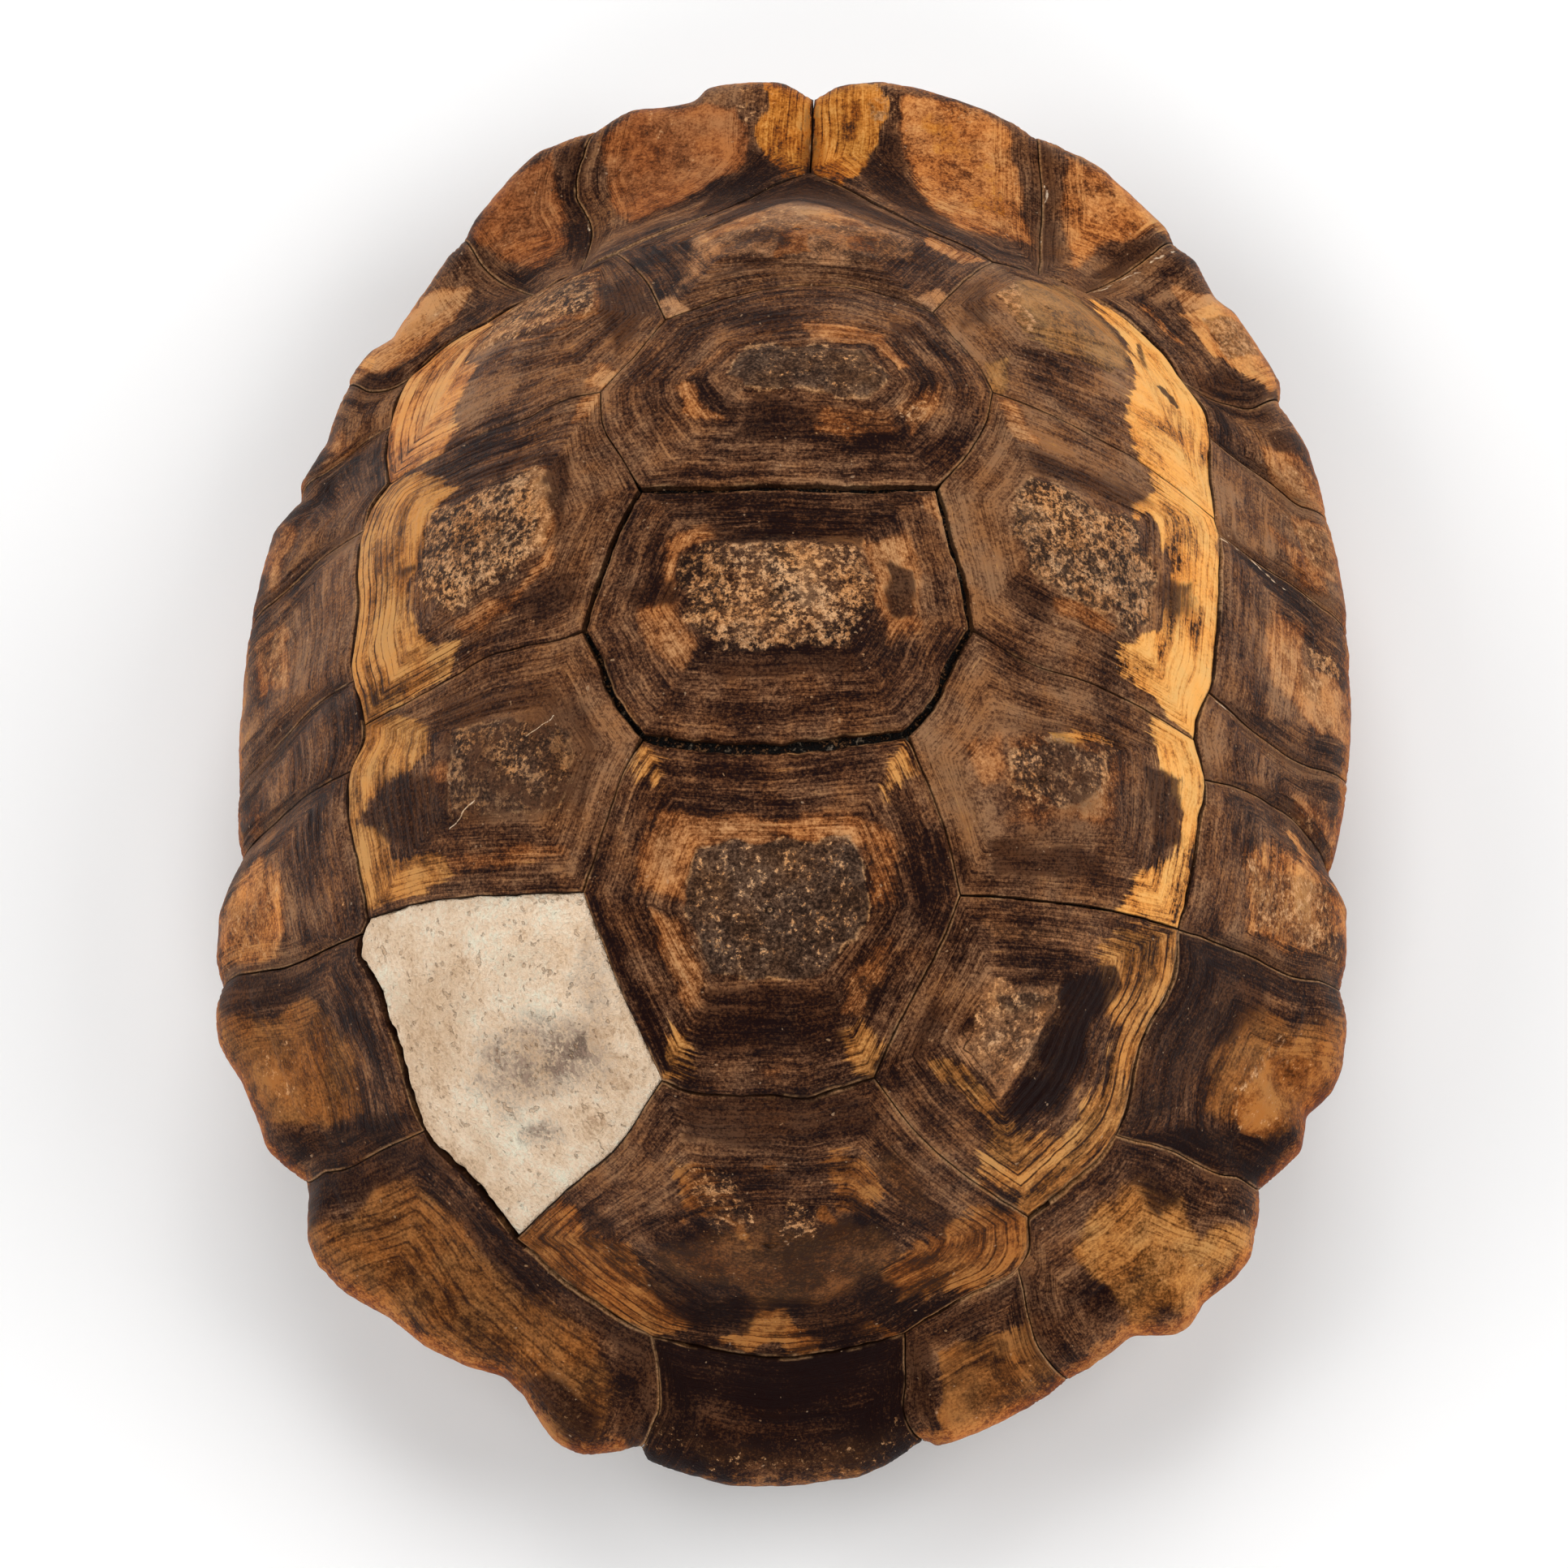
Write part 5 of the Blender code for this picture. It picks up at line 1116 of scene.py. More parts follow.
def backScute(name, names, index):
    # rings from the areola's middle through its corners out to the seams, then down the edge and under
    settings = backScutes
    loop, corners, gap, light = outlineOf(names)
    loop = movedIn(loop, gap)
    count = len(loop)
    spots = np.asarray(areolaSpan[name], float)
    middle = spots.mean(axis=0)
    spots = spots[np.argsort(np.arctan2(*(spots - middle).T[::-1]))]
    # the turn of the list that brings each areola corner nearest to its outline corner's direction
    ahead, own = unit(loop[corners] - middle), unit(spots - middle)
    start = np.argmax([(np.roll(own, -k, axis=0) * ahead).sum() for k in range(len(spots))])
    spots = np.roll(spots, -start, axis=0)
    at = np.append(corners, corners[0] + count)
    position = (np.arange(count) - corners[0]) % count + corners[0]
    areola = [blurred(np.interp(position, at, np.append(spots[:, k], spots[0, k])), 3.0) for k in (0, 1)]
    areola = np.stack(areola, axis=1)

    # growth is -1 in the middle of the areola, 0 at its edge and 1 at the seam
    span = np.linalg.norm(loop - areola, axis=1)
    inner = np.linspace(0, 1, settings["areolaRows"])[1:, None, None]
    mid = np.linspace(0, 1, settings["rows"])[1:, None] * (1 - settings["evenTo"] / span)[None, :]
    outer = np.concatenate([mid, 1 - np.array(settings["lastRows"])[:, None] / span[None, :]])
    plan = np.concatenate([middle + inner * (areola - middle), areola + outer[..., None] * (loop - areola)])
    growth = np.concatenate([np.broadcast_to(inner[:, :, 0] - 1, (len(inner), count)), outer])
    toSeam = np.linalg.norm(plan - loop[None], axis=2)
    reach = np.clip(1 - toSeam / np.linalg.norm(loop - middle, axis=1), 0, 1)

    # relief: swell and step of the areola, growth bands, roughness, yearly lines and the rolled edge
    inGrowth = easeIn(-0.15, 0.1, growth)
    ring = ringNoise(plan, growth, 0.12, 11, 41 + index, 3)
    line = ringNoise(plan, growth, 0.3, 34, 51 + index, 2)
    rough = noise(plan, 1.1, 61 + index, 3)
    swell = settings["swell"] * (1 - easeIn(0.1, 0.97, reach))
    step = settings["step"] * (1 - easeIn(-0.1, 0.06, growth)) * (1 + 0.6 * noise(plan, 9, 31 + index, 2))
    depth = -swell - step - settings["relief"] * inGrowth * (1.0 * ring + 0.45 * line)
    depth = depth - 0.055 * (1 - inGrowth) * rough - 0.02 * rough
    turn = growth * settings["years"][name.split("_")[0]] + 0.55 * noise(plan, 9, 33 + index, 2)
    depth = depth + settings["line"] * inGrowth * np.cos(2 * math.pi * turn)
    roll, rollOver = settings["roll"]
    depth = depth + (roll + np.clip(gap, 0, 0.26)) * np.clip(1 - toSeam / rollOver, 0, 1) ** 2.2

    every = np.unique(np.concatenate([np.arange(0, count, 4), corners]))
    lower = np.concatenate([middle + s * (loop[every] - middle) for s in (0.97, 0.6)])
    points = np.concatenate([
        skinAt(plan, depth).reshape(-1, 3), skinAt(middle[None], -settings["swell"] - settings["step"]),
        *(skinAt(under, settings["thick"]) for under in (loop, lower, middle[None])),
    ])
    total, pole = len(points), growth.size
    seam = np.arange(count)
    wall, sparse = pole + 1 + seam, pole + 1 + count + np.arange(len(every))
    quads = [gridQuads(len(growth), count, 0, True), stitched(pole - count + seam, wall),
             gridQuads(2, len(every), sparse[0], True)]
    tris = [fan(pole, seam, True), zipper(wall, sparse, every), fan(total - 1, sparse + len(every), False)]

    # painted shade: each side of a scute is made a little lighter or darker than the next, at random, like
    # facets that catch the light differently
    sector = np.searchsorted(corners, seam, side="right") % len(corners)
    tint = hashed(np.stack([sector, np.full(count, index)], axis=1), 77) * 2 - 1
    rim = light * (1.0 if name.startswith("vertebral") else 0.6)
    marks = hornMarks(total, growth, backPatches.get(name, ()), plan, near=toSeam, turn=turn, rim=rim,
                      side=blurred(tint, 0.6) * inGrowth, edge=0.0)
    marks["growth"][pole], marks["near"][pole] = -1, 9
    return points, np.concatenate(quads), np.concatenate(tris), marks


for index, (name, names) in enumerate(backScutes["pieces"].items()):
    look = hornLook("horn_" + name, *backScutes["tones"][name])
    makePiece(name + "_horn", backScute(name, names, index), look, [name], name.split("_")[0] + "_horn")
print("Scutes of the back made")

edgeScutes = {
    "relief": 0.10,  # as in backScutes
    "line": 0.03,
    "gap": 0.035,  # half the width of the seams, mm
    "years": 11.0,
    "thick": 0.95,
    "step": 0.24,  # mm between points
    "reach": 62,  # mm from the middle of the back, about
    # columns beside a seam, mm from it, and where the even ones start
    "sideColumns": (0, 0.06, 0.15, 0.27, 0.42, 0.6),
    "sideWidth": 0.85,
    # rows beside the ring, as parts of the way to where the edge turns under
    "ringRows": (0, 0.004, 0.009, 0.016, 0.026, 0.04),
    "turnRows": 29,
    "underRows": 25,
    "every": 4,  # the inside keeps one row and column in so many
    # how far the growth rings run from the front seam, the rear seam and the ring, as parts of the scute
    "rings": (0.36, 0.20, 0.55),
    "longRings": 0.95,  # the last one on the left grew further from the ring
    "tailRings": 5.0,  # over the tail they start this far from either seam, mm
    "swell": (0.30, 3.5),  # how high the horn swells between its side seams, and over how many mm
    "sunk": (0.15, 3.0),  # how much deeper it lies at its edges, and over how many mm
    "roll": (0.10, 0.7),  # how far the last bit rolls in, and over how many mm
    "outTo": 0.93,  # past this share nothing stands out over the even skin
    "dim": (0.42, 2.6),  # how dark the horn is beside its seams, and over how many mm
    "names": (
        *[f"marginal_scute_right_{n}" for n in range(1, 12)],
        "supracaudal_scute",
        *[f"marginal_scute_left_{n}" for n in range(10, 0, -1)],
    ),
    # how much lighter each scute is, its amber and its glow, and how strong its lines are, in the same order
    "tones": (
        (0.02, "yellow", "fox"), (0.04, "orange", "fox"), (0.03, "orange", "rust"),
        (0.03, "orange", "rust"), (0.18, "orange", "rust"), (0.02, "orange", "rust"),
        (0.04, "orange", "rust"), (0.07, "orange", "orange"), (-0.1, "russet", "ochre", 1.2),
        (-0.04, "honey", "honey", 1.4), (-0.01, "ochre", "ochre"), (-0.15, "russet", "umber"),
        (-0.03, "ochre", "ochre", 1.7), (-0.03, "ochre", "ochre", 1.3), (0.03, "orange", "orange"),
        (0.04, "orange", "rust"), (0.05, "orange", "rust"), (0.03, "orange", "rust"),
        (0.01, "orange", "rust"), (0.0, "orange", "rust"), (0.0, "orange", "ember"),
        (0.02, "yellow", "ember"),
    ),
}
edgePatches = {
    "marginal_scute_right_1": (
        ("amber", 0.8, 1.3, 2, 72, 6, 73.5, 8.5, 73, 9.5, 70.5, 8.5, 65, 7, 61, 5.5, 59, 2, 61.5),
        ("grey", 0.7, 0.5, 7, 70.5, 9.5, 71, 9, 67.5, 7.5, 68.5),
        ("crust", 0.8, 0.35, 8.5, 73, 11, 73, 10.5, 67.5, 9, 66.5),
        ("dark", 0.8, 1.1, 7, 61, 10, 67.5, 11, 66.5, 11.5, 60.5, 14.5, 56, 15, 52, 9, 57),
        ("glow", 1, 1.05, 11, 71.5, 18.5, 71, 22, 68, 23.5, 59, 24.5, 52.5, 17.5, 51.5, 13, 57.5, 11.5,
         64.5),
        ("amber", 1, 0.5, 12.5, 69.5, 15, 69.5, 20.5, 63.5, 23, 55.5, 18.5, 56.5, 14.5, 64.5),
        ("crust", 0.8, 0.3, 14.5, 70.5, 19.5, 70, 20.5, 65, 17, 65),
    ),
    "marginal_scute_left_1": (
        ("amber", 0.8, 1.3, -3, 74, 2, 72, 2, 61.5, -0.5, 60, -2.5, 64, -4, 67.5, -2.5, 69.5),
        ("dark", 0.25, 1.2, 0, 70.4, 0, 65.8, 0.8, 64.2, 0, 65.8, -1.8, 63, 0, 65.8),
        ("crust", 0.8, 0.35, -6, 73, -2.5, 72.5, -2.5, 68.5, -4, 67, -5.5, 68.5),
        ("dark", 0.8, 1.1, -4, 66, -1.5, 61, -2.5, 57.5, -7, 53.5, -9.5, 51.5, -7.5, 58.5, -5, 61.5),
        ("glow", 1, 1.25, -19.5, 67.5, -15.5, 71, -6, 70, -4, 65, -5.5, 61.5, -11, 57, -15.5, 55, -18.5, 59),
        ("crust", 1, 0.25, -16, 71, -8.5, 70.5, -9, 65.5, -14.5, 66),
    ),
    "marginal_scute_right_2": (
        ("dark", 0.8, 0.6, 23.5, 67.5, 27, 66.5, 27.5, 50, 24.5, 50),
        ("pale", 0.22, 1.7, 25.8, 61.8, 25.2, 58.2, 25.2, 53.4, 25.2, 58.2),
        ("glow", 1, 0.85, 28, 65.5, 32.5, 63.5, 38.5, 58.5, 35, 55.5, 31, 54, 28.5, 50, 27.5, 58.5),
        ("amber", 0.8, 0.95, 32, 63.5, 37.5, 59.5, 39, 57.5, 35, 57, 32.5, 60),
        ("dark", 0.8, 0.8, 34, 55, 39, 57, 39, 55.5, 33.5, 50.5, 30, 49.5),
    ),
    "marginal_scute_left_2": (
        ("glow", 1, 1, -34, 57.5, -28.5, 64, -24.5, 66, -23.5, 60.5, -22, 53.5, -25, 50, -29, 53.5),
        ("crust", 0.9, 0.3, -30.5, 57, -27, 57.5, -25, 52, -27.5, 52),
        ("dark", 0.9, 0.8, -23.5, 66, -20, 68.5, -18.5, 49.5, -21.5, 50),
        ("pale", 0.2, 1.1, -21.4, 61.4, -20.6, 58, -20.2, 52, -20.6, 58),
    ),
    "marginal_scute_right_3": (
        ("pale", 0.2, 1.6, 30.6, 47.2, 35, 51.8, 38.8, 55.4, 35, 51.8),
        ("glow", 0.7, 1.3, 39, 50.5, 43.5, 51, 44.5, 49.5, 40, 47.5),
        ("amber", 0.7, 1.25, 39.5, 47, 44.5, 50, 48.5, 44.5, 50, 39.5, 48, 41, 45, 42, 41.5, 44),
        ("crust", 0.7, 1, 41.5, 47, 46, 48.5, 47.5, 44.5, 44.5, 43),
        ("amber", 0.5, 0.9, 35, 47.5, 36, 47.5, 39.5, 43, 39, 42.5),
        ("dark", 0.8, 1, 43.5, 41.5, 48, 40.5, 50, 39.5, 49.5, 41, 45, 37.5, 41, 38.5),
    ),
    "marginal_scute_left_3": (
        ("glow", 0.8, 1.3, -45.5, 41.5, -43.5, 45, -39.5, 48.5, -37, 51, -32.5, 50, -33.5, 47, -38.5, 42.5,
         -40.5, 42),
        ("amber", 0.6, 0.7, -45, 42.5, -44, 44.5, -42, 45, -43, 42),
        ("crust", 0.8, 0.4, -39.5, 47.5, -34, 49, -35, 47, -38.5, 44.5),
        ("dark", 0.8, 0.9, -45.5, 41, -40.5, 42, -38.5, 41.5, -39, 39.5, -44, 39.5),
    ),
    "marginal_scute_right_4": (
        ("dark", 0.7, 0.9, 48, 35.5, 51.5, 36.5, 52.5, 34.5, 49, 33),
        ("glow", 0.8, 1.2, 47.5, 33, 52, 33.5, 54, 30.5, 55, 27.5, 51.5, 27, 49, 29),
        ("crust", 0.7, 0.4, 49, 32, 52.5, 33.5, 54, 30.5, 50.5, 29.5),
    ),
    "marginal_scute_right_5": (
        ("glow", 1.2, 0.9, 48, 23, 53, 22, 54.5, 18, 51.5, 17),
        ("glow", 0.8, 1.4, 50.5, 25.5, 54.5, 26.5, 56, 22, 55.5, 20, 52.5, 20),
        ("crust", 0.6, 0.6, 51, 25, 54.5, 26, 55.5, 21, 52.5, 20.5),
    ),
    "marginal_scute_right_6": (
        ("pale", 0.18, 1.7, 43.6, 18.6, 46.8, 17.8, 51.2, 15.8, 46.8, 17.8),
        ("glow", 1, 1, 48.5, 12.5, 51.5, 13, 51.5, 8, 51, 4, 48.5, 4.5, 48, 8),
        ("crust", 0.7, 0.8, 52, 11.5, 55, 11.5, 55.5, 10, 52, 8.5),
        ("glow", 0.7, 1.2, 51, 8, 55, 10, 56.5, 8, 56, 3, 53, 2.5, 50.5, 4.5),
        ("crust", 0.6, 0.6, 51, 8, 54, 9, 53.5, 5.5, 51, 5),
    ),
    "marginal_scute_right_7": (
        ("pale", 0.18, 1.5, 43, -0.4, 47.2, -1.4, 52, -1.6, 47.2, -1.4),
        ("glow", 1, 0.8, 50.5, -5.5, 55, -4.5, 55, -7.5, 51.5, -8),
        ("crust", 0.6, 0.5, 50.5, -7, 53.5, -5.5, 53, -7.5, 51, -8),
    ),
    "marginal_scute_left_4": (
        ("glow", 1, 0.6, -49.5, 28.5, -45.5, 37.5, -43.5, 32.5),
    ),
    "marginal_scute_left_5": (
        ("glow", 0.8, 1, -54, 22.5, -51, 27.5, -49.5, 25.5, -51.5, 18),
    ),
    "marginal_scute_left_6": (
        ("glow", 0.8, 1.1, -53.5, 14, -49.5, 13.5, -48.5, 5.5, -52, 6.5),
        ("crust", 0.6, 0.5, -53, 13.5, -50, 13, -49.5, 6.5, -51.5, 7.5),
    ),
    "marginal_scute_left_7": (
        ("glow", 1, 0.7, -54, -4, -51, -5, -52, -9, -54, -8),
    ),
    "marginal_scute_right_8": (
        ("glow", 1.3, 0.95, 45.5, -15, 48, -11.5, 55, -11, 56.5, -10, 56.5, -16, 51, -21.5, 46, -21.5),
        ("crust", 1, 0.55, 45.5, -15, 54.5, -12.5, 55.5, -19.5, 46.5, -21.5),
        ("amber", 0.5, 1.1, 49.5, -9.5, 50.5, -9, 53, -10.5, 52, -12.5),
    ),
    "marginal_scute_left_8": (
        ("glow", 1, 0.9, -56.5, -15, -51.5, -11, -48.5, -15, -47.5, -21, -49, -23, -56, -20.5),
        ("amber", 1.4, 0.35, -54.5, -15, -51.5, -13, -49, -15.5, -48, -20.5, -53, -20),
        ("crust", 0.8, 0.4, -56, -14.5, -49, -15.5, -48.5, -23, -55, -20.5),
    ),
    "marginal_scute_right_9": (
        ("dark", 1.5, 0.85, 40, -24.5, 48, -24, 48, -27.5, 43, -33, 38.5, -39.5, 34.5, -42, 36, -35.5),
        ("glow", 1.3, 0.85, 43, -30.5, 46.5, -27, 50, -28.5, 57, -24, 56.5, -27.5, 52.5, -34, 51.5, -37, 48,
         -38.5, 44, -38, 41, -38.5, 41.5, -35.5),
        ("crust", 0.3, 1.6, 49.4, -29.6, 47.2, -32.4, 45, -35.8, 45, -38, 45, -35.8, 47.2, -32.4),
        ("amber", 0.8, 1.3, 49, -29.5, 54.5, -28.5, 54.5, -32, 50.5, -37.5, 45.5, -38.5, 44.5, -37, 44.5,
         -35.5, 47, -32),
        ("crust", 1, 0.25, 49, -29.5, 54, -29, 50.5, -37.5, 45.5, -38.5, 44.5, -36),
        ("crust", 0.3, 1.2, 49.2, -29.2, 47, -32.2, 44.6, -35.8, 44.8, -38.2, 48, -38.2, 44.8, -38.2, 44.6,
         -35.8, 47, -32.2),
        ("dark", 1, 0.8, 38.5, -40, 44, -38.5, 51, -38, 47.5, -42, 43, -43, 35.5, -42.5),
        ("dark", 1, 0.5, 39.5, -25, 41.5, -24.5, 38.5, -37, 35.5, -41, 35.5, -38.5),
    ),
    "marginal_scute_left_9": (
        ("glow", 1.1, 1.1, -56.5, -25.5, -49.5, -28, -45.5, -27, -40, -34, -39.5, -39, -49.5, -37.5, -54,
         -30.5),
        ("amber", 1, 0.7, -53, -29, -46.5, -30.5, -46, -34, -46, -37.5, -49, -37, -52.5, -32),
        ("crust", 0.9, 0.3, -53, -29, -46.5, -30.5, -46, -37.5, -49, -36.5),
        ("dark", 0.8, 0.8, -56.5, -21.5, -45, -25.5, -46.5, -27.5, -55, -26),
        ("dark", 0.8, 0.9, -50, -38, -39, -39.5, -34, -41.5, -42.5, -43, -49.5, -39),
        ("pale", 0.18, 1, -47, -33.8, -46.4, -35.4),
    ),
    "marginal_scute_right_10": (
        ("glow", 1.2, 1, 29, -51.5, 33, -47, 35.5, -45, 39.5, -46, 41.5, -49, 47.5, -46, 46.5, -49, 42,
         -53.5, 41.5, -55, 35, -57, 33, -55),
        ("dark", 0.8, 0.8, 33.5, -45, 37, -43.5, 39.5, -46.5, 37.5, -48),
        ("crust", 1, 0.25, 37, -51, 45.5, -49.5, 43, -52.5, 37.5, -55.5),
    ),
    "marginal_scute_left_10": (
        ("glow", 1.4, 0.85, -47.5, -45, -42.5, -47.5, -37, -44, -35, -44.5, -30.5, -49, -24.5, -54.5, -16.5,
         -60, -15, -64, -16.5, -69.5, -20.5, -69, -23, -65, -28.5, -61, -35, -57.5, -46, -49),
        ("dark", 1, 0.8, -47, -41.5, -35.5, -42.5, -33, -42.5, -30.5, -46.5, -35.5, -44.5, -38.5, -46, -46.5,
         -47.5),
        ("dark", 1, 1, -30.5, -48, -24, -53, -11, -60.5, -11.5, -69, -14.5, -69, -15, -61, -19.5, -57, -27.5,
         -52),
        ("dark", 1, 0.7, -25, -62, -20, -63.5, -16.5, -66.5, -17, -69, -20, -69, -22.5, -66),
        ("glow", 0.8, 1.2, -47.5, -45, -41, -51.5, -34.5, -55.5, -28, -60, -29, -61, -37, -56, -46.5, -49),
        ("crust", 0.8, 0.3, -24.5, -59, -20, -62, -17.5, -68, -20, -68, -23, -63),
    ),
    "marginal_scute_right_11": (
        ("amber", 0.7, 0.95, 16, -61, 19.5, -59.5, 26, -58, 27, -60.5, 23.5, -61.5, 19.5, -62.5, 19, -66,
         16.5, -66.5),
        ("glow", 1, 1.1, 19, -62.5, 27.5, -60.5, 29, -61.5, 22.5, -66, 18, -68.5, 16.5, -66.5),
        ("dark", 0.8, 0.8, 13, -60, 15.5, -60, 15.5, -66.5, 13.5, -66.5),
        ("dark", 0.8, 0.6, 13.5, -60, 23, -55, 24, -55.5, 19.5, -59, 15.5, -60.5),
    ),
    "supracaudal_scute": (
        ("dark", 1.2, 1.6, -11.5, -60.5, 0, -62, 13, -60, 13, -64.5, 0, -67, -11, -65),
        ("dark", 1.5, 0.75, -11, -65, 13, -64.5, 13.5, -68, 4, -71, -11, -69.5),
        ("glow", 1, 0.7, -6, -64.5, -0.5, -66, 6.5, -64.5, 6.5, -66.5, 0, -68, -5.5, -66.5),
        ("crust", 1, 0.3, -13, -68.5, -9.5, -66.5, -8, -70, 10, -69.5, 12.5, -65.5, 14.5, -68.5, 8.5, -72,
         -6.5, -72),
        ("glow", 1.8, 0.5, -12, -66.5, 0, -68, 13.5, -66, 14.5, -68.5, 8.5, -72, -6.5, -72, -13, -68.5),
        ("glow", 1, 0.3, -13, -68.5, 14.5, -68.5, 8.5, -72, -6.5, -72),
    ),
}


def sideOf(points):
    # a marginal's side seam as its angle for each part of the way from the ring to the edge
    line = smoothSeam(points)
    angle, share = shareOf(line)
    angle = (angle - angle[-1] + 180) % 360 - 180 + angle[-1]
    return (share - share[0]) / (share[-1] - share[0]), angle


def gridRim(grid):
    # the numbers around a grid, in order
    return np.concatenate([grid[0, :-1], grid[:-1, -1], grid[-1, :0:-1], grid[:0:-1, 0]])


def edgeScute(name, start, stop, index):
    # columns from seam to seam, rows from the ring over the edge and on to the underside
    settings = edgeScutes
    tail = name == "supracaudal_scute"
    (firstPart, first), (lastPart, last) = sideOf(start), sideOf(stop)
    last = last + 360 * (last[-1] < first[-1])
    width = math.radians(last[-1] - first[-1]) * settings["reach"]
    side, even = np.array(settings["sideColumns"]) / width, settings["sideWidth"] / width
    middle = np.linspace(even, 1 - even, max(12, int(width / settings["step"])))
    across = np.concatenate([side, middle, 1 - side[::-1]])
    gap = 1.3 * settings["gap"] / width
    a = gap + across * (1 - 2 * gap)
    inner = first[0] * (1 - a) + last[0] * a
    begin = shareOf(inPlan(inner, atAngle(ringTable, inner) + 1.8 * settings["gap"]))[1]
    rimRound = shell["rimRound"]
    evenRows = np.linspace(0.055, 1, int(settings["reach"] * (rimRound - begin.mean()) / settings["step"]))
    upper = np.concatenate([settings["ringRows"], evenRows])
    turning = np.linspace(rimRound, 2 - rimRound, settings["turnRows"] + 1)[1:]
    under = np.linspace(2 - rimRound, shell["underEnd"], settings["underRows"] + 1)[1:]
    share = begin[None, :] + upper[:, None] * (rimRound - begin)[None, :]
    share = np.concatenate([share, np.repeat(np.concatenate([turning, under])[:, None], len(a), axis=1)])
    part = np.clip((share - begin) / (1 - begin), 0, 1)
    angle = np.interp(part, firstPart, first) * (1 - a) + np.interp(part, lastPart, last) * a

    # how far each point is from the seams, the ring and the end under the rim
    base = onSkin(angle, share, edgeTable)
    down, over = (
        np.cumsum(np.linalg.norm(np.diff(base, axis=way, prepend=np.take(base, [0], way)), axis=2), axis=way)
        for way in (0, 1)
    )
    toStart, toStop = over, over[:, -1:] - over
    toSide = np.minimum(toStart, toStop)
    near = np.minimum(toSide, np.minimum(down, down[-1:] - down))
    toFront, toRear = (toStart, toStop) if (angle.mean() % 360) < 180 else (toStop, toStart)
    frontPart, rearPart, ringPart = settings["rings"]
    wide = over[:, -1:].mean()
    frontWide, rearWide = (settings["tailRings"],) * 2 if tail else (frontPart * wide, rearPart * wide)
    ringPart = settings["longRings"] if name == "marginal_scute_left_10" else ringPart
    ringWide = ringPart * down[len(upper) + 14].mean()
    waysOut = np.stack([toFront / frontWide, toRear / rearWide, down / ringWide])
    growth = 1 - waysOut.min(axis=0)

    # relief: growth bands, roughness, yearly lines, a low swell between the seams, and the rolled edge
    inGrowth = easeIn(-0.2, 0.15, growth)
    ring = ringNoise(base, growth, 0.12, 9, 141 + index, 3)
    line = ringNoise(base, growth, 0.3, 28, 151 + index, 2)
    depth = -settings["relief"] * inGrowth * (ring + 0.4 * line) - 0.03 * noise(base, 1.1, 161, 3)
    turn = growth * settings["years"] + 0.55 * noise(base, 9, 33 + index, 2)
    depth = depth + settings["line"] * inGrowth * np.cos(2 * math.pi * turn)
    swell, swellOver = settings["swell"]
    sunk, sunkOver = settings["sunk"]
    roll, rollOver = settings["roll"]
    depth = depth - swell * easeIn(0, swellOver, toSide) * (1 - easeIn(0.9, 1.0, share))
    depth = depth + sunk * (1 - easeIn(0, sunkOver, near)) + roll * np.clip(1 - near / rollOver, 0, 1) ** 2.2
    depth = np.maximum(depth, np.where(share > settings["outTo"], 0.0, -1.0))

    rows, columns = share.shape
    every = settings["every"]
    pick = np.ix_(*(np.unique(np.append(np.arange(0, n, every), n - 1)) for n in share.shape))
    outside, inside = skin(angle, share, depth), skin(angle[pick], share[pick], settings["thick"])
    points = np.concatenate([outside.reshape(-1, 3), inside.reshape(-1, 3)])
    grid = np.arange(share.size).reshape(share.shape)
    back = share.size + np.arange(inside[..., 0].size).reshape(inside.shape[:2])
    outer = gridRim(grid)
    order = np.argsort(outer)
    every = order[np.searchsorted(outer[order], gridRim(grid[pick]))]
    quads = np.concatenate([gridQuads(rows, columns), gridQuads(*back.shape, share.size)[:, ::-1]])

    # the free edge is thin horn, and it is painted bright as if light came through it; the horn is dark
    # beside its seams
    free = easeIn(rimRound, 1.0, share) * (1 - easeIn(1.02, 1.08, share))
    dim, dimOver = settings["dim"]
    aside = dim * (1 - easeIn(0.5, dimOver, toSide)) * (1 - free)
    # painted shade: a random lighter or darker facet for each way the horn grows from, as on the back's
    # scutes
    sector = np.argmin(waysOut, axis=0)
    tint = hashed(np.stack([sector, np.full(sector.shape, index)], axis=-1), 78) * 2 - 1
    rim = np.where(toStart < toStop, edgeRim[index], 0.4 * edgeRim[(index + 1) % len(edgeRim)])
    marks = hornMarks(len(points), growth, edgePatches.get(name, ()), base, near=near, turn=turn,
                      rim=rim * (1 - easeIn(1.0, 1.05, share)), side=tint * inGrowth,
                      edge=free * (0.55 if tail else 1.0))
    marks["dark"] = np.maximum(marks["dark"], padded(aside, len(points)))
    return points, quads, zipper(outer, gridRim(back), every), marks


for index, name in enumerate(edgeScutes["names"]):
    surface = edgeScute(name, edgeSeams[index], edgeSeams[(index + 1) % len(edgeSeams)], index)
    look = hornLook("horn_" + name, *edgeScutes["tones"][index], ringCount=13.0)
    makePiece(name + "_horn", surface, look, [name], "marginal_horn")
print("Marginals made")

# the bone under the horn, in mm: how deep its outside lies, the layer and the wall within, and how deep it
# lies under the rim
bone = {
    "bed": 1.06,
    "layer": 0.74,
    "wall": 2.6,
    "under": 2.9,
    "angleStep": 1.15,  # degrees
    "lip": 0.84,  # share at which the inside starts, and the same over the bridges
    "bridgeLip": 0.93,
    "vertebrae": (1.7, 2.4, 11.5),  # height and width of their ridge, and how long each one is
    "ribs": (0.55, 2.0, 12.5),  # the same of the ribs, and how far they are apart
}
boneMarks = ("stain", "warm", "crackAndShadeLine", "bevel", "dirt")


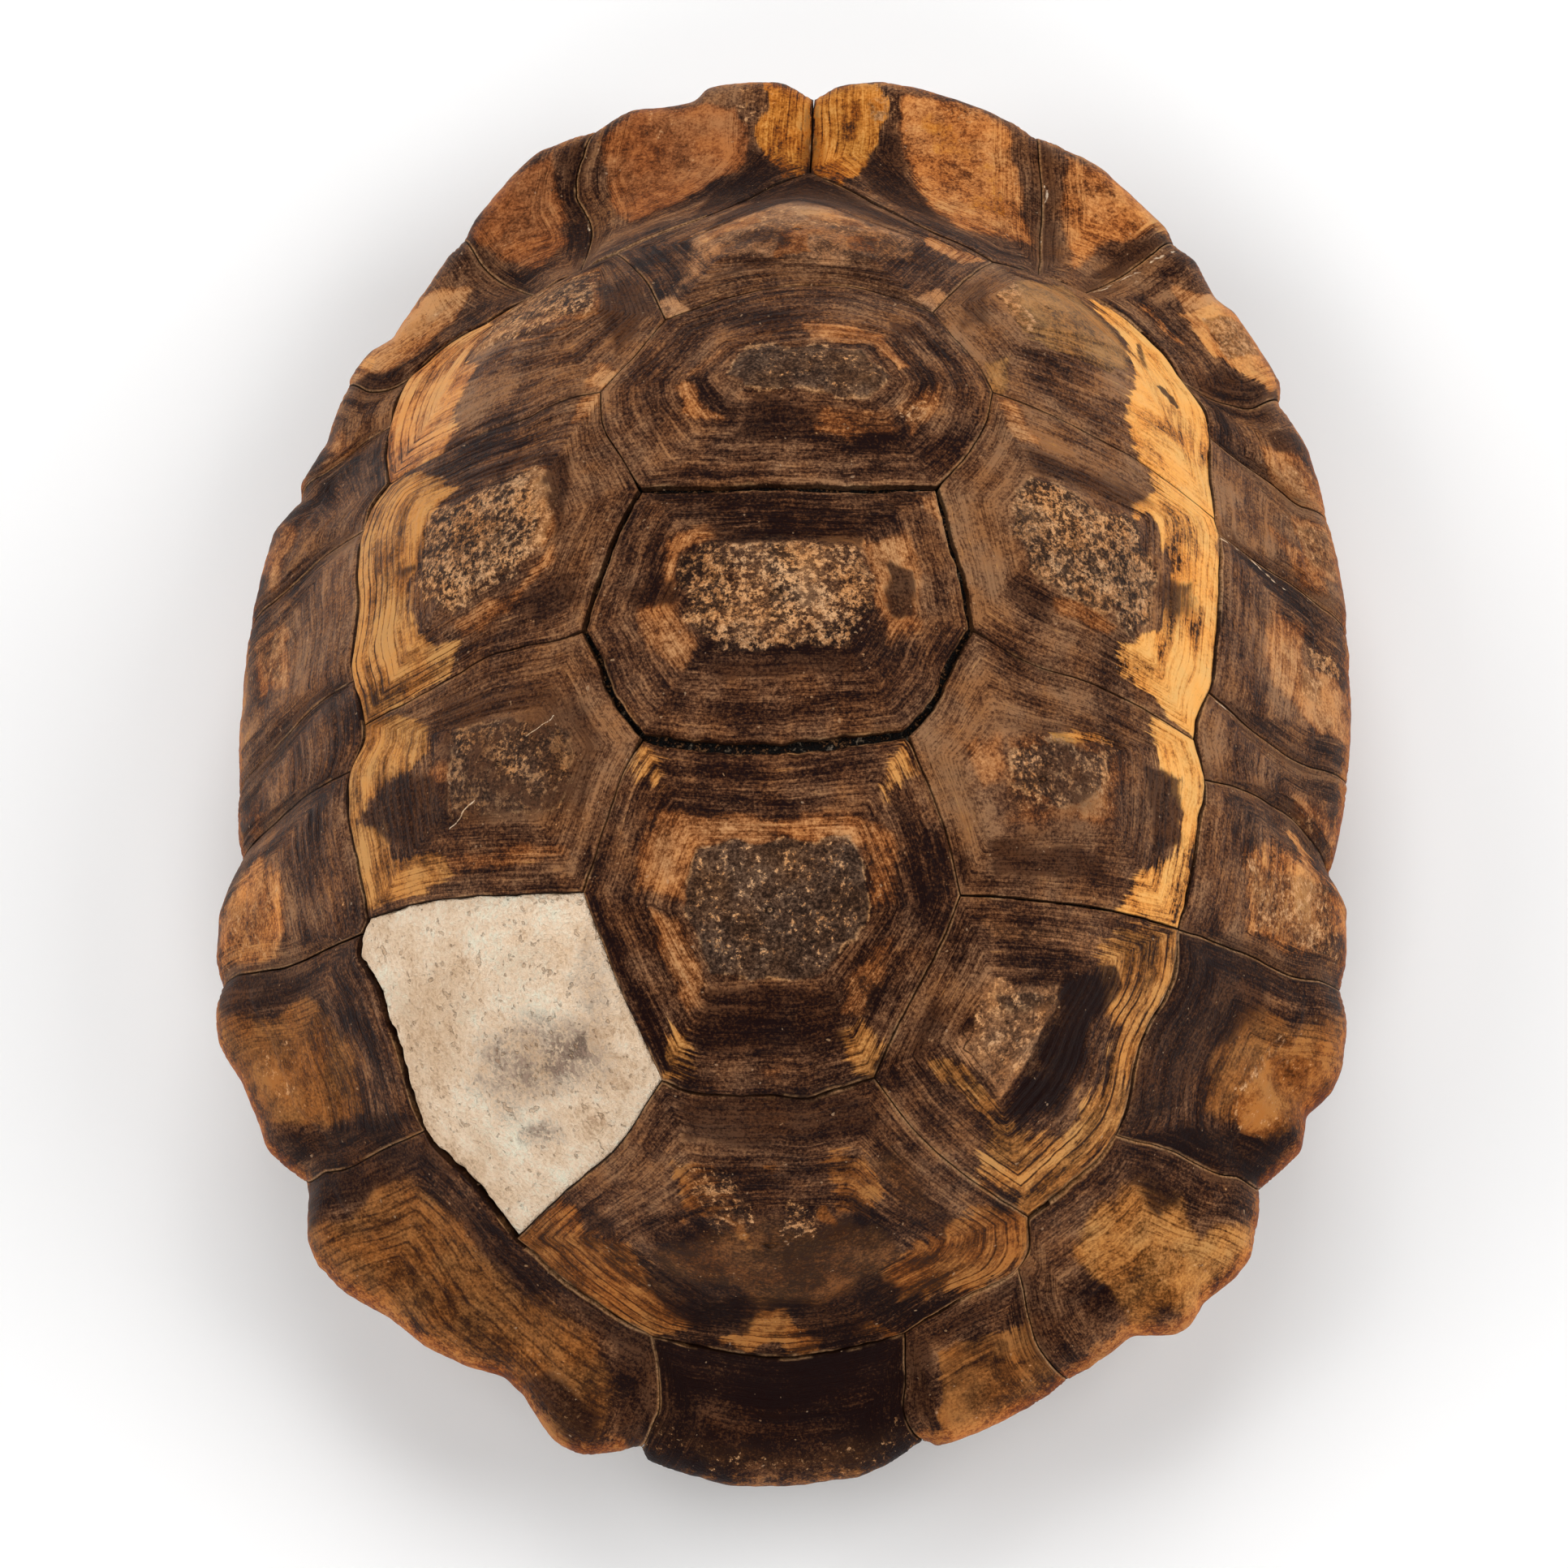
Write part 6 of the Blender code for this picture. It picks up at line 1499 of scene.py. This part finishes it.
def boneBowl():
    # rings of the bowl's outside, over the rim, back along its inside to the crown
    rimRound = shell["rimRound"]
    angles = np.arange(0, 360, bone["angleStep"])
    count = len(angles)
    inner = bone["bed"] + bone["layer"] + bone["wall"]
    shares = np.concatenate([
        np.arange(0.03, 0.87, 0.022), np.arange(0.87, rimRound, 0.012),
        np.linspace(rimRound, 2 - rimRound, 14), np.linspace(1.06, shell["underEnd"], 6),
    ])
    angle, share = (grid.ravel() for grid in np.meshgrid(angles, shares))
    depth = bone["bed"] + (bone["under"] - bone["bed"]) * easeIn(1.0, 1.06, share)
    outside = skin(angle, share, depth, boneTable)
    bridge = bridgePart(angles)[:, None]
    lip, side = (skin(angles, np.full(count, bone[at]), inner, boneTable) for at in ("lip", "bridgeLip"))
    turnRow = side * bridge + 0.5 * (outside[-count:] + lip) * (1 - bridge)
    rows = [outside, 0.5 * (outside[-count:] + turnRow), turnRow, 0.5 * (turnRow + lip), lip]
    angle, share = (grid.ravel() for grid in np.meshgrid(angles, np.arange(0.82, 0.02, -0.0135)))
    under = inPlan(angle, share * radius(angle, share, boneTable))
    x, y = under.T
    # a ridge of fused vertebrae along the middle, and the ribs running out from it
    high, wide, length = bone["vertebrae"]
    spine = np.exp(-(x / wide) ** 2) * easeIn(-58, -50, y) * (1 - easeIn(46, 56, y))
    knots = 1.0 + 0.25 * np.cos(y * 2 * math.pi / length)
    ribHigh, ribWide, ribStep = bone["ribs"]
    ribs = np.exp(-(np.abs((y + 0.012 * x**2) / ribStep % 1 - 0.5) * ribStep / ribWide) ** 2)
    ribs = ribs * easeIn(2, 6, np.abs(x)) * (1 - easeIn(30, 42, np.abs(x)))
    depth = inner + high * spine * knots + ribHigh * ribs + 0.12 * noise(under, 5, 91, 3)
    rows.append(skin(angle, share, depth, boneTable))
    poles = [skin(np.zeros(1), np.zeros(1), depth, boneTable) for depth in (bone["bed"], inner + 2.0)]
    points, quads, tris = cappedRings(rows, poles, count, False)
    marks = {kind: np.zeros(len(points)) for kind in boneMarks}
    # painted shade: the bowl's outside is seen only through the gaping seams, so all of it is painted as
    # their near-black shade
    marks["dirt"][:len(outside)] = 1.0
    return points, quads, tris, marks


bare = {
    "middle": (-24.5, -38.0),
    "rows": 120,
    # where the even rows end and the ones beside the seam, mm from it
    "evenTo": 1.0,
    "lastRows": (0.8, 0.64, 0.5, 0.38, 0.28, 0.19, 0.1, 0.04, 0.0),
    "gap": 0.03,
    "rise": 0.38,  # how deep the bare bone lies under the horn's surface, mm
    "under": 0.5,  # how far it reaches down into the bone
    # like backPatches
    "patches": (
        ("stain", 0.9, 1.35, -21.5, -41.5, -19.5, -39.5, -16, -39, -15.5, -41, -18, -42.5, -20.5, -42.5),
        ("stain", 1.9, 0.8, -29.5, -40.5, -26, -37.5, -22, -37, -14.5, -39, -13.5, -43.5, -19, -44, -25,
         -43.5),
        ("stain", 0.9, 0.95, -23.5, -45.5, -21, -45.5, -19, -47, -20.5, -47.5, -23.5, -46.5),
        ("stain", 1.2, 0.6, -16, -30.5, -14, -34, -13.5, -39.5, -15.5, -39.5, -18, -35),
        ("stain", 0.8, 0.6, -27.5, -41.5, -23, -43, -22.5, -45.5, -25.5, -44.5),
        ("warm", 1.8, 0.75, -36.5, -30.5, -29, -31.5, -27, -35.5, -29.5, -40, -33, -40, -35, -36),
        ("warm", 1.2, 0.5, -26, -30.5, -18.5, -31, -18.5, -34.5, -25, -33.5),
        ("warm", 1, 0.6, -30, -43, -26.5, -44, -25, -47.5, -28, -47.5),
        ("crackAndShadeLine", 0.2, 1.2, -34.4, -30.6, -31, -31.4, -25.8, -32.4, -31, -31.4),
        ("crackAndShadeLine", 0.2, 1.2, -29, -42.6, -26.6, -44, -23.2, -45.6, -26.6, -44),
        ("crackAndShadeLine", 0.18, 1, -22.4, -36, -20.8, -40, -22.4, -42.6, -20.8, -40),
    ),
}


def bareBone():
    # the bone where the scute is shed: rings from its middle out to the seams, then down under the horn
    loop = movedIn(outlineOf(("c3_c4l", "c4l_m", "v5_c4l", "v4_c4l"))[0], bare["gap"])
    middle = np.array(bare["middle"])
    span = np.linalg.norm(loop - middle, axis=1)
    inner = np.linspace(0.012, 1, bare["rows"])[:, None] * (1 - bare["evenTo"] / span)[None, :]
    reach = np.concatenate([inner, 1 - np.array(bare["lastRows"])[:, None] / span[None, :]])
    flat = (middle + reach[..., None] * (loop - middle)).reshape(-1, 2)
    toLast = lineDistance(flat, fineSeams["v5_c4l"][::2], False)
    # along the last vertebral the bone has a smooth strip, a little lower, which the bone's look paints
    # lighter as a highlight
    strip = 1 - easeIn(1.5, 2.2, toLast + 0.5 * noise(flat, 2.0, 89, 3))
    ragged = lineDistance(flat, loop[::2]) + 0.16 * noise(flat, 0.9, 88, 3)
    drop = (1 - easeIn(-0.05, 0.17, ragged)) * (1 - 0.75 * strip)
    pits = np.clip(noise(flat, 0.9, 81, 2) - 0.35, 0, 1) * 0.4
    ripple = 0.14 * noise(flat, 6.0, 82, 3) + 0.14 * noise(flat, 1.5, 83, 3) + 0.05 * noise(flat, 0.6, 84, 2)
    depth = bare["rise"] + 0.24 * drop + 0.16 * strip + (1 - drop) * (pits - ripple) * (1 - 0.6 * strip)
    under = bone["bed"] + bare["under"]
    rows = [skinAt(flat, depth), skinAt(loop, under), skinAt(middle + 0.5 * (loop - middle), under)]
    poles = [skinAt(middle[None], depth) for depth in (bare["rise"], under)]
    points, quads, tris = cappedRings(rows, poles, len(loop), True)
    drifted = flat + wander(flat, 2.5, 86, 3, 0.9)
    marks = {kind: patchMark(drifted, bare["patches"], kind) for kind in ("stain", "warm", "crackAndShadeLine")}
    # painted shade: a dark line along the smooth strip's edge, where its level changes, goes into the crack
    # mark
    shadeLineOffset = (toLast - 1.9 + 0.25 * noise(flat, 2.0, 89, 2)) / 0.22
    marks["crackAndShadeLine"] = np.maximum(marks["crackAndShadeLine"], 0.42 * np.exp(-(shadeLineOffset**2)))
    # painted shade where the bare bone drops under the horn's edge, and the painted highlight of the smooth
    # strip
    marks.update(bevel=strip, dirt=drop * 0.70)
    return points, quads, tris, {kind: padded(values, len(points)) for kind, values in marks.items()}


makePiece("back_bone", boneBowl(), boneLook("bone"), ["bone_shell"], "bone")
makePiece("bare_bone", bareBone(), boneLook("bone_of_the_back"), ["bone_shell"], "bone")

plastron = {
    "middle": (0.0, 5.0),
    "boneTo": 0.905,  # the shares that the bone and the horn stay within
    "hornTo": 0.858,
    "lift": 0.1,  # how far the bone lies above the horn's bed, mm
    "sink": (2.6, 0.86, 0.045),  # how much deeper it lies near the rim, from which share, over how much
    "gap": 0.12,
    "thick": 1.0,
    "step": 0.45,  # mm between points of the outline
    "rows": 44,
    # rows beside the seam, as parts of the way out to it
    "lastRows": (0.955, 0.97, 0.982, 0.991, 0.997, 1.0),
    "relief": 0.07,
    "roll": (0.34, 0.9),  # how far the last bit beside the seam rolls in, and over how many mm
}


def heldIn(plan, most):
    # the points, with those too near the rim drawn in along their radius
    angle, share = shareOf(plan)
    part = np.minimum(share, most)
    return inPlan(angle, part * radius(angle, part, edgeTable))


def plastronPlate():
    # rings of the plate's underside, over its edge, and back along its inside
    outline = list(plastronBone) + [(-x, y) for x, y in plastronBone[-2:0:-1]]
    outline = heldIn(smoothSeam(outline[::-1] + outline[-1:], 0.8)[:-1], plastron["boneTo"])
    middle, bed = np.array(plastron["middle"]), bone["bed"] + plastron["lift"]

    def low(plan):
        most, start, over = plastron["sink"]
        return bed + most * np.clip((shareOf(plan)[1] - start) / over, 0, 1)

    reaches = [*np.linspace(0.02, 0.97, 40), 0.985, 0.996]
    plans = [middle + reach * (outline - middle) for reach in reaches]
    rows = [plateAt(plan, low(plan) + 0.25 * easeIn(0.98, 1, reach)) for plan, reach in zip(plans, reaches)]
    rows += [plateAt(outline, low(outline) + rise) for rise in (0.7, 1.6)]
    for plan, reach in zip(plans[::-1], reaches[::-1]):
        depth = low(plan) + bone["wall"] - 0.4 * easeIn(0.97, 1, reach) + 0.15 * noise(plan, 4, 95, 3)
        rows.append(plateAt(plan, depth))
    poles = [plateAt(middle[None], depth) for depth in (bed, bed + bone["wall"])]
    points, quads, tris = cappedRings(rows, poles, len(outline), False)
    return points, quads, tris, {kind: np.zeros(len(points)) for kind in boneMarks}


makePiece("plastron_bone", plastronPlate(), boneLook("bone_of_the_plastron"), ["bone_shell"], "bone")
print("Bone made")


def plastronScute(half, sign, index):
    # rings from the scute's middle out to its seams, then up its edge and under; x is mirrored on the left
    outline = np.array([*half, half[0]], float) * (sign, 1)
    sides = []
    for a, b in zip(outline[:-1], outline[1:]):
        steps = max(2, int(np.hypot(*(b - a)) / plastron["step"]))
        sides.append(a + (b - a) * (np.arange(steps) / steps)[:, None])
    loop = np.concatenate(sides)
    offMiddle = np.abs(loop[:, 0]) > 0.01
    loop = loop + wander(loop * (sign, 1), 3.0, 24, 2, 0.25) * (sign, 1) * offMiddle[:, None]
    loop = loop[::-1] if isClockwise(loop) else loop
    loop = heldIn(movedIn(loop, plastron["gap"]), plastron["hornTo"])
    count = len(loop)
    middle = loop.mean(axis=0) * 0.5 + (loop.min(axis=0) + loop.max(axis=0)) / 2 * 0.5
    t = np.concatenate([np.linspace(0.02, 0.94, plastron["rows"]), plastron["lastRows"]])
    plan = middle + t[:, None, None] * (loop - middle)
    toSeam = np.linalg.norm(plan - loop[None], axis=2)
    growth = np.clip((t[:, None] - 0.35) / 0.65, -0.6, 1) + 0 * toSeam
    ring, rough = ringNoise(plan, growth, 0.1, 12, 241 + index, 3), noise(plan, 1.4, 261, 3)
    depth = -plastron["relief"] * ring * easeIn(-0.1, 0.2, growth) + 0.10 - 0.02 * rough
    roll, rollOver = plastron["roll"]
    depth = np.maximum(depth + roll * np.clip(1 - toSeam / rollOver, 0, 1) ** 2.2, 0.0)
    unders = loop, middle + 0.6 * (loop - middle), middle[None]
    points = np.concatenate([
        plateAt(plan, depth).reshape(-1, 3), plateAt(middle[None], 0.08),
        *(plateAt(under, plastron["thick"]) for under in unders),
    ])
    total, pole = len(points), growth.size
    seam = np.arange(count)
    wall = pole + 1 + seam
    quads = [gridQuads(len(t), count, 0, True), stitched(pole - count + seam, wall),
             gridQuads(2, count, pole + 1, True)]
    tris = [fan(pole, seam, True), fan(total - 1, wall + count, False)]
    turn = growth * 9 + 0.5 * noise(plan, 9, 233 + index, 2)
    crust, dark = 0.30 * (1 - easeIn(-0.1, 0.3, growth)), 0.62 * (1 - easeIn(0.2, 0.75, growth))
    marks = hornMarks(total, growth, (), plan, near=toSeam, turn=turn, rim=0.4, side=0.0, edge=0.0,
                      amber=0.80, crust=crust, dark=dark)
    marks["amber"][pole:] = 0.3
    return points, np.concatenate(quads), np.concatenate(tris), marks


for index, (kind, half) in enumerate(plastronHalf.items()):
    for side, sign in (("right", 1), ("left", -1)):
        look = hornLook(f"horn_{kind}_{side}", 0.05, "straw", "rust", 1.0, 10.0)
        surface = plastronScute(half, sign, index * 2 + (sign < 0))
        makePiece(f"{kind}_{side}_horn", surface, look, [f"{kind}_scute_{side}"], "plastron_horn")
print("Plastron made")

studio = {
    "floor": (0.96, 0.96, 0.96),
    "floorRough": 0.9,
    "floorHalf": 6.0,  # metres
    "world": 0.16,
    "aim": (0, 0, 0.03),
    # place in metres, size, watts
    "lamps": (
        ((0.0, 0.85, 0.85), 0.8, 5.8),
        ((-0.85, 0.05, 0.70), 0.7, 5.6),
        ((0.85, 0.05, 0.70), 0.7, 6.2),
        ((0.0, -0.85, 0.60), 0.7, 3.8),
    ),
}
floorMesh = bpy.data.meshes.new("floor")
half = studio["floorHalf"]
corners = (-half, -half, 0), (half, -half, 0), (half, half, 0), (-half, half, 0)
floorMesh.from_pydata(corners, [], [range(4)])
floorLook = Look("pale_floor")
floorLook.shader.inputs["Base Color"].default_value = (*studio["floor"], 1)
floorLook.shader.inputs["Roughness"].default_value = studio["floorRough"]
floorMesh.materials.append(floorLook.made)
floor = placed("floor", floorMesh)

world = bpy.data.worlds.new("soft_light")
world.use_nodes = True
world.node_tree.nodes["Background"].inputs["Color"].default_value = (1, 1, 1, 1)
world.node_tree.nodes["Background"].inputs["Strength"].default_value = studio["world"]
bpy.context.scene.world = world
bpy.context.scene.view_settings.view_transform = "Standard"


def turned(thing, place, right, back):
    # lamps and cameras look along their own -Z, with X to the right
    matrix = np.eye(4)
    matrix[:3, :3], matrix[:3, 3] = np.stack([right, np.cross(back, right), back], axis=1), place
    thing.matrix_world = Matrix(matrix.tolist())


for number, (place, size, power) in enumerate(studio["lamps"]):
    lamp = bpy.data.lights.new(f"lamp_{number}", "AREA")
    lamp.size, lamp.energy = size, power
    back = unit(np.subtract(place, studio["aim"]))
    turned(placed(f"lamp_{number}", lamp), place, unit(np.cross((0, 0, 1.0), back)), back)

# distances in mm; focal length and picture size in pixels of the whole frame
view = {
    "toCamera": (0.05, -0.342, 0.94),
    "distance": 800.0,
    "target": (0, 0, 15.0),
    "aside": -0.163,
    "focal": 9828.0,
    "size": 1932,
    "sensor": 36.0,
    "clip": (0.01, 20.0),  # metres
}
toCamera = unit(np.array(view["toCamera"]))
right = unit(np.array([1.0, 0, 0]) - toCamera[0] * toCamera)
target = np.array(view["target"]) + shell["frameShift"] + view["aside"] * right
camera = bpy.data.cameras.new("camera")
camera.sensor_width, camera.lens = view["sensor"], view["focal"] / view["size"] * view["sensor"]
camera.clip_start, camera.clip_end = view["clip"]
holder = placed("camera", camera)
turned(holder, (target + view["distance"] * toCamera) * 0.001, right, toCamera)
bpy.context.scene.camera = holder
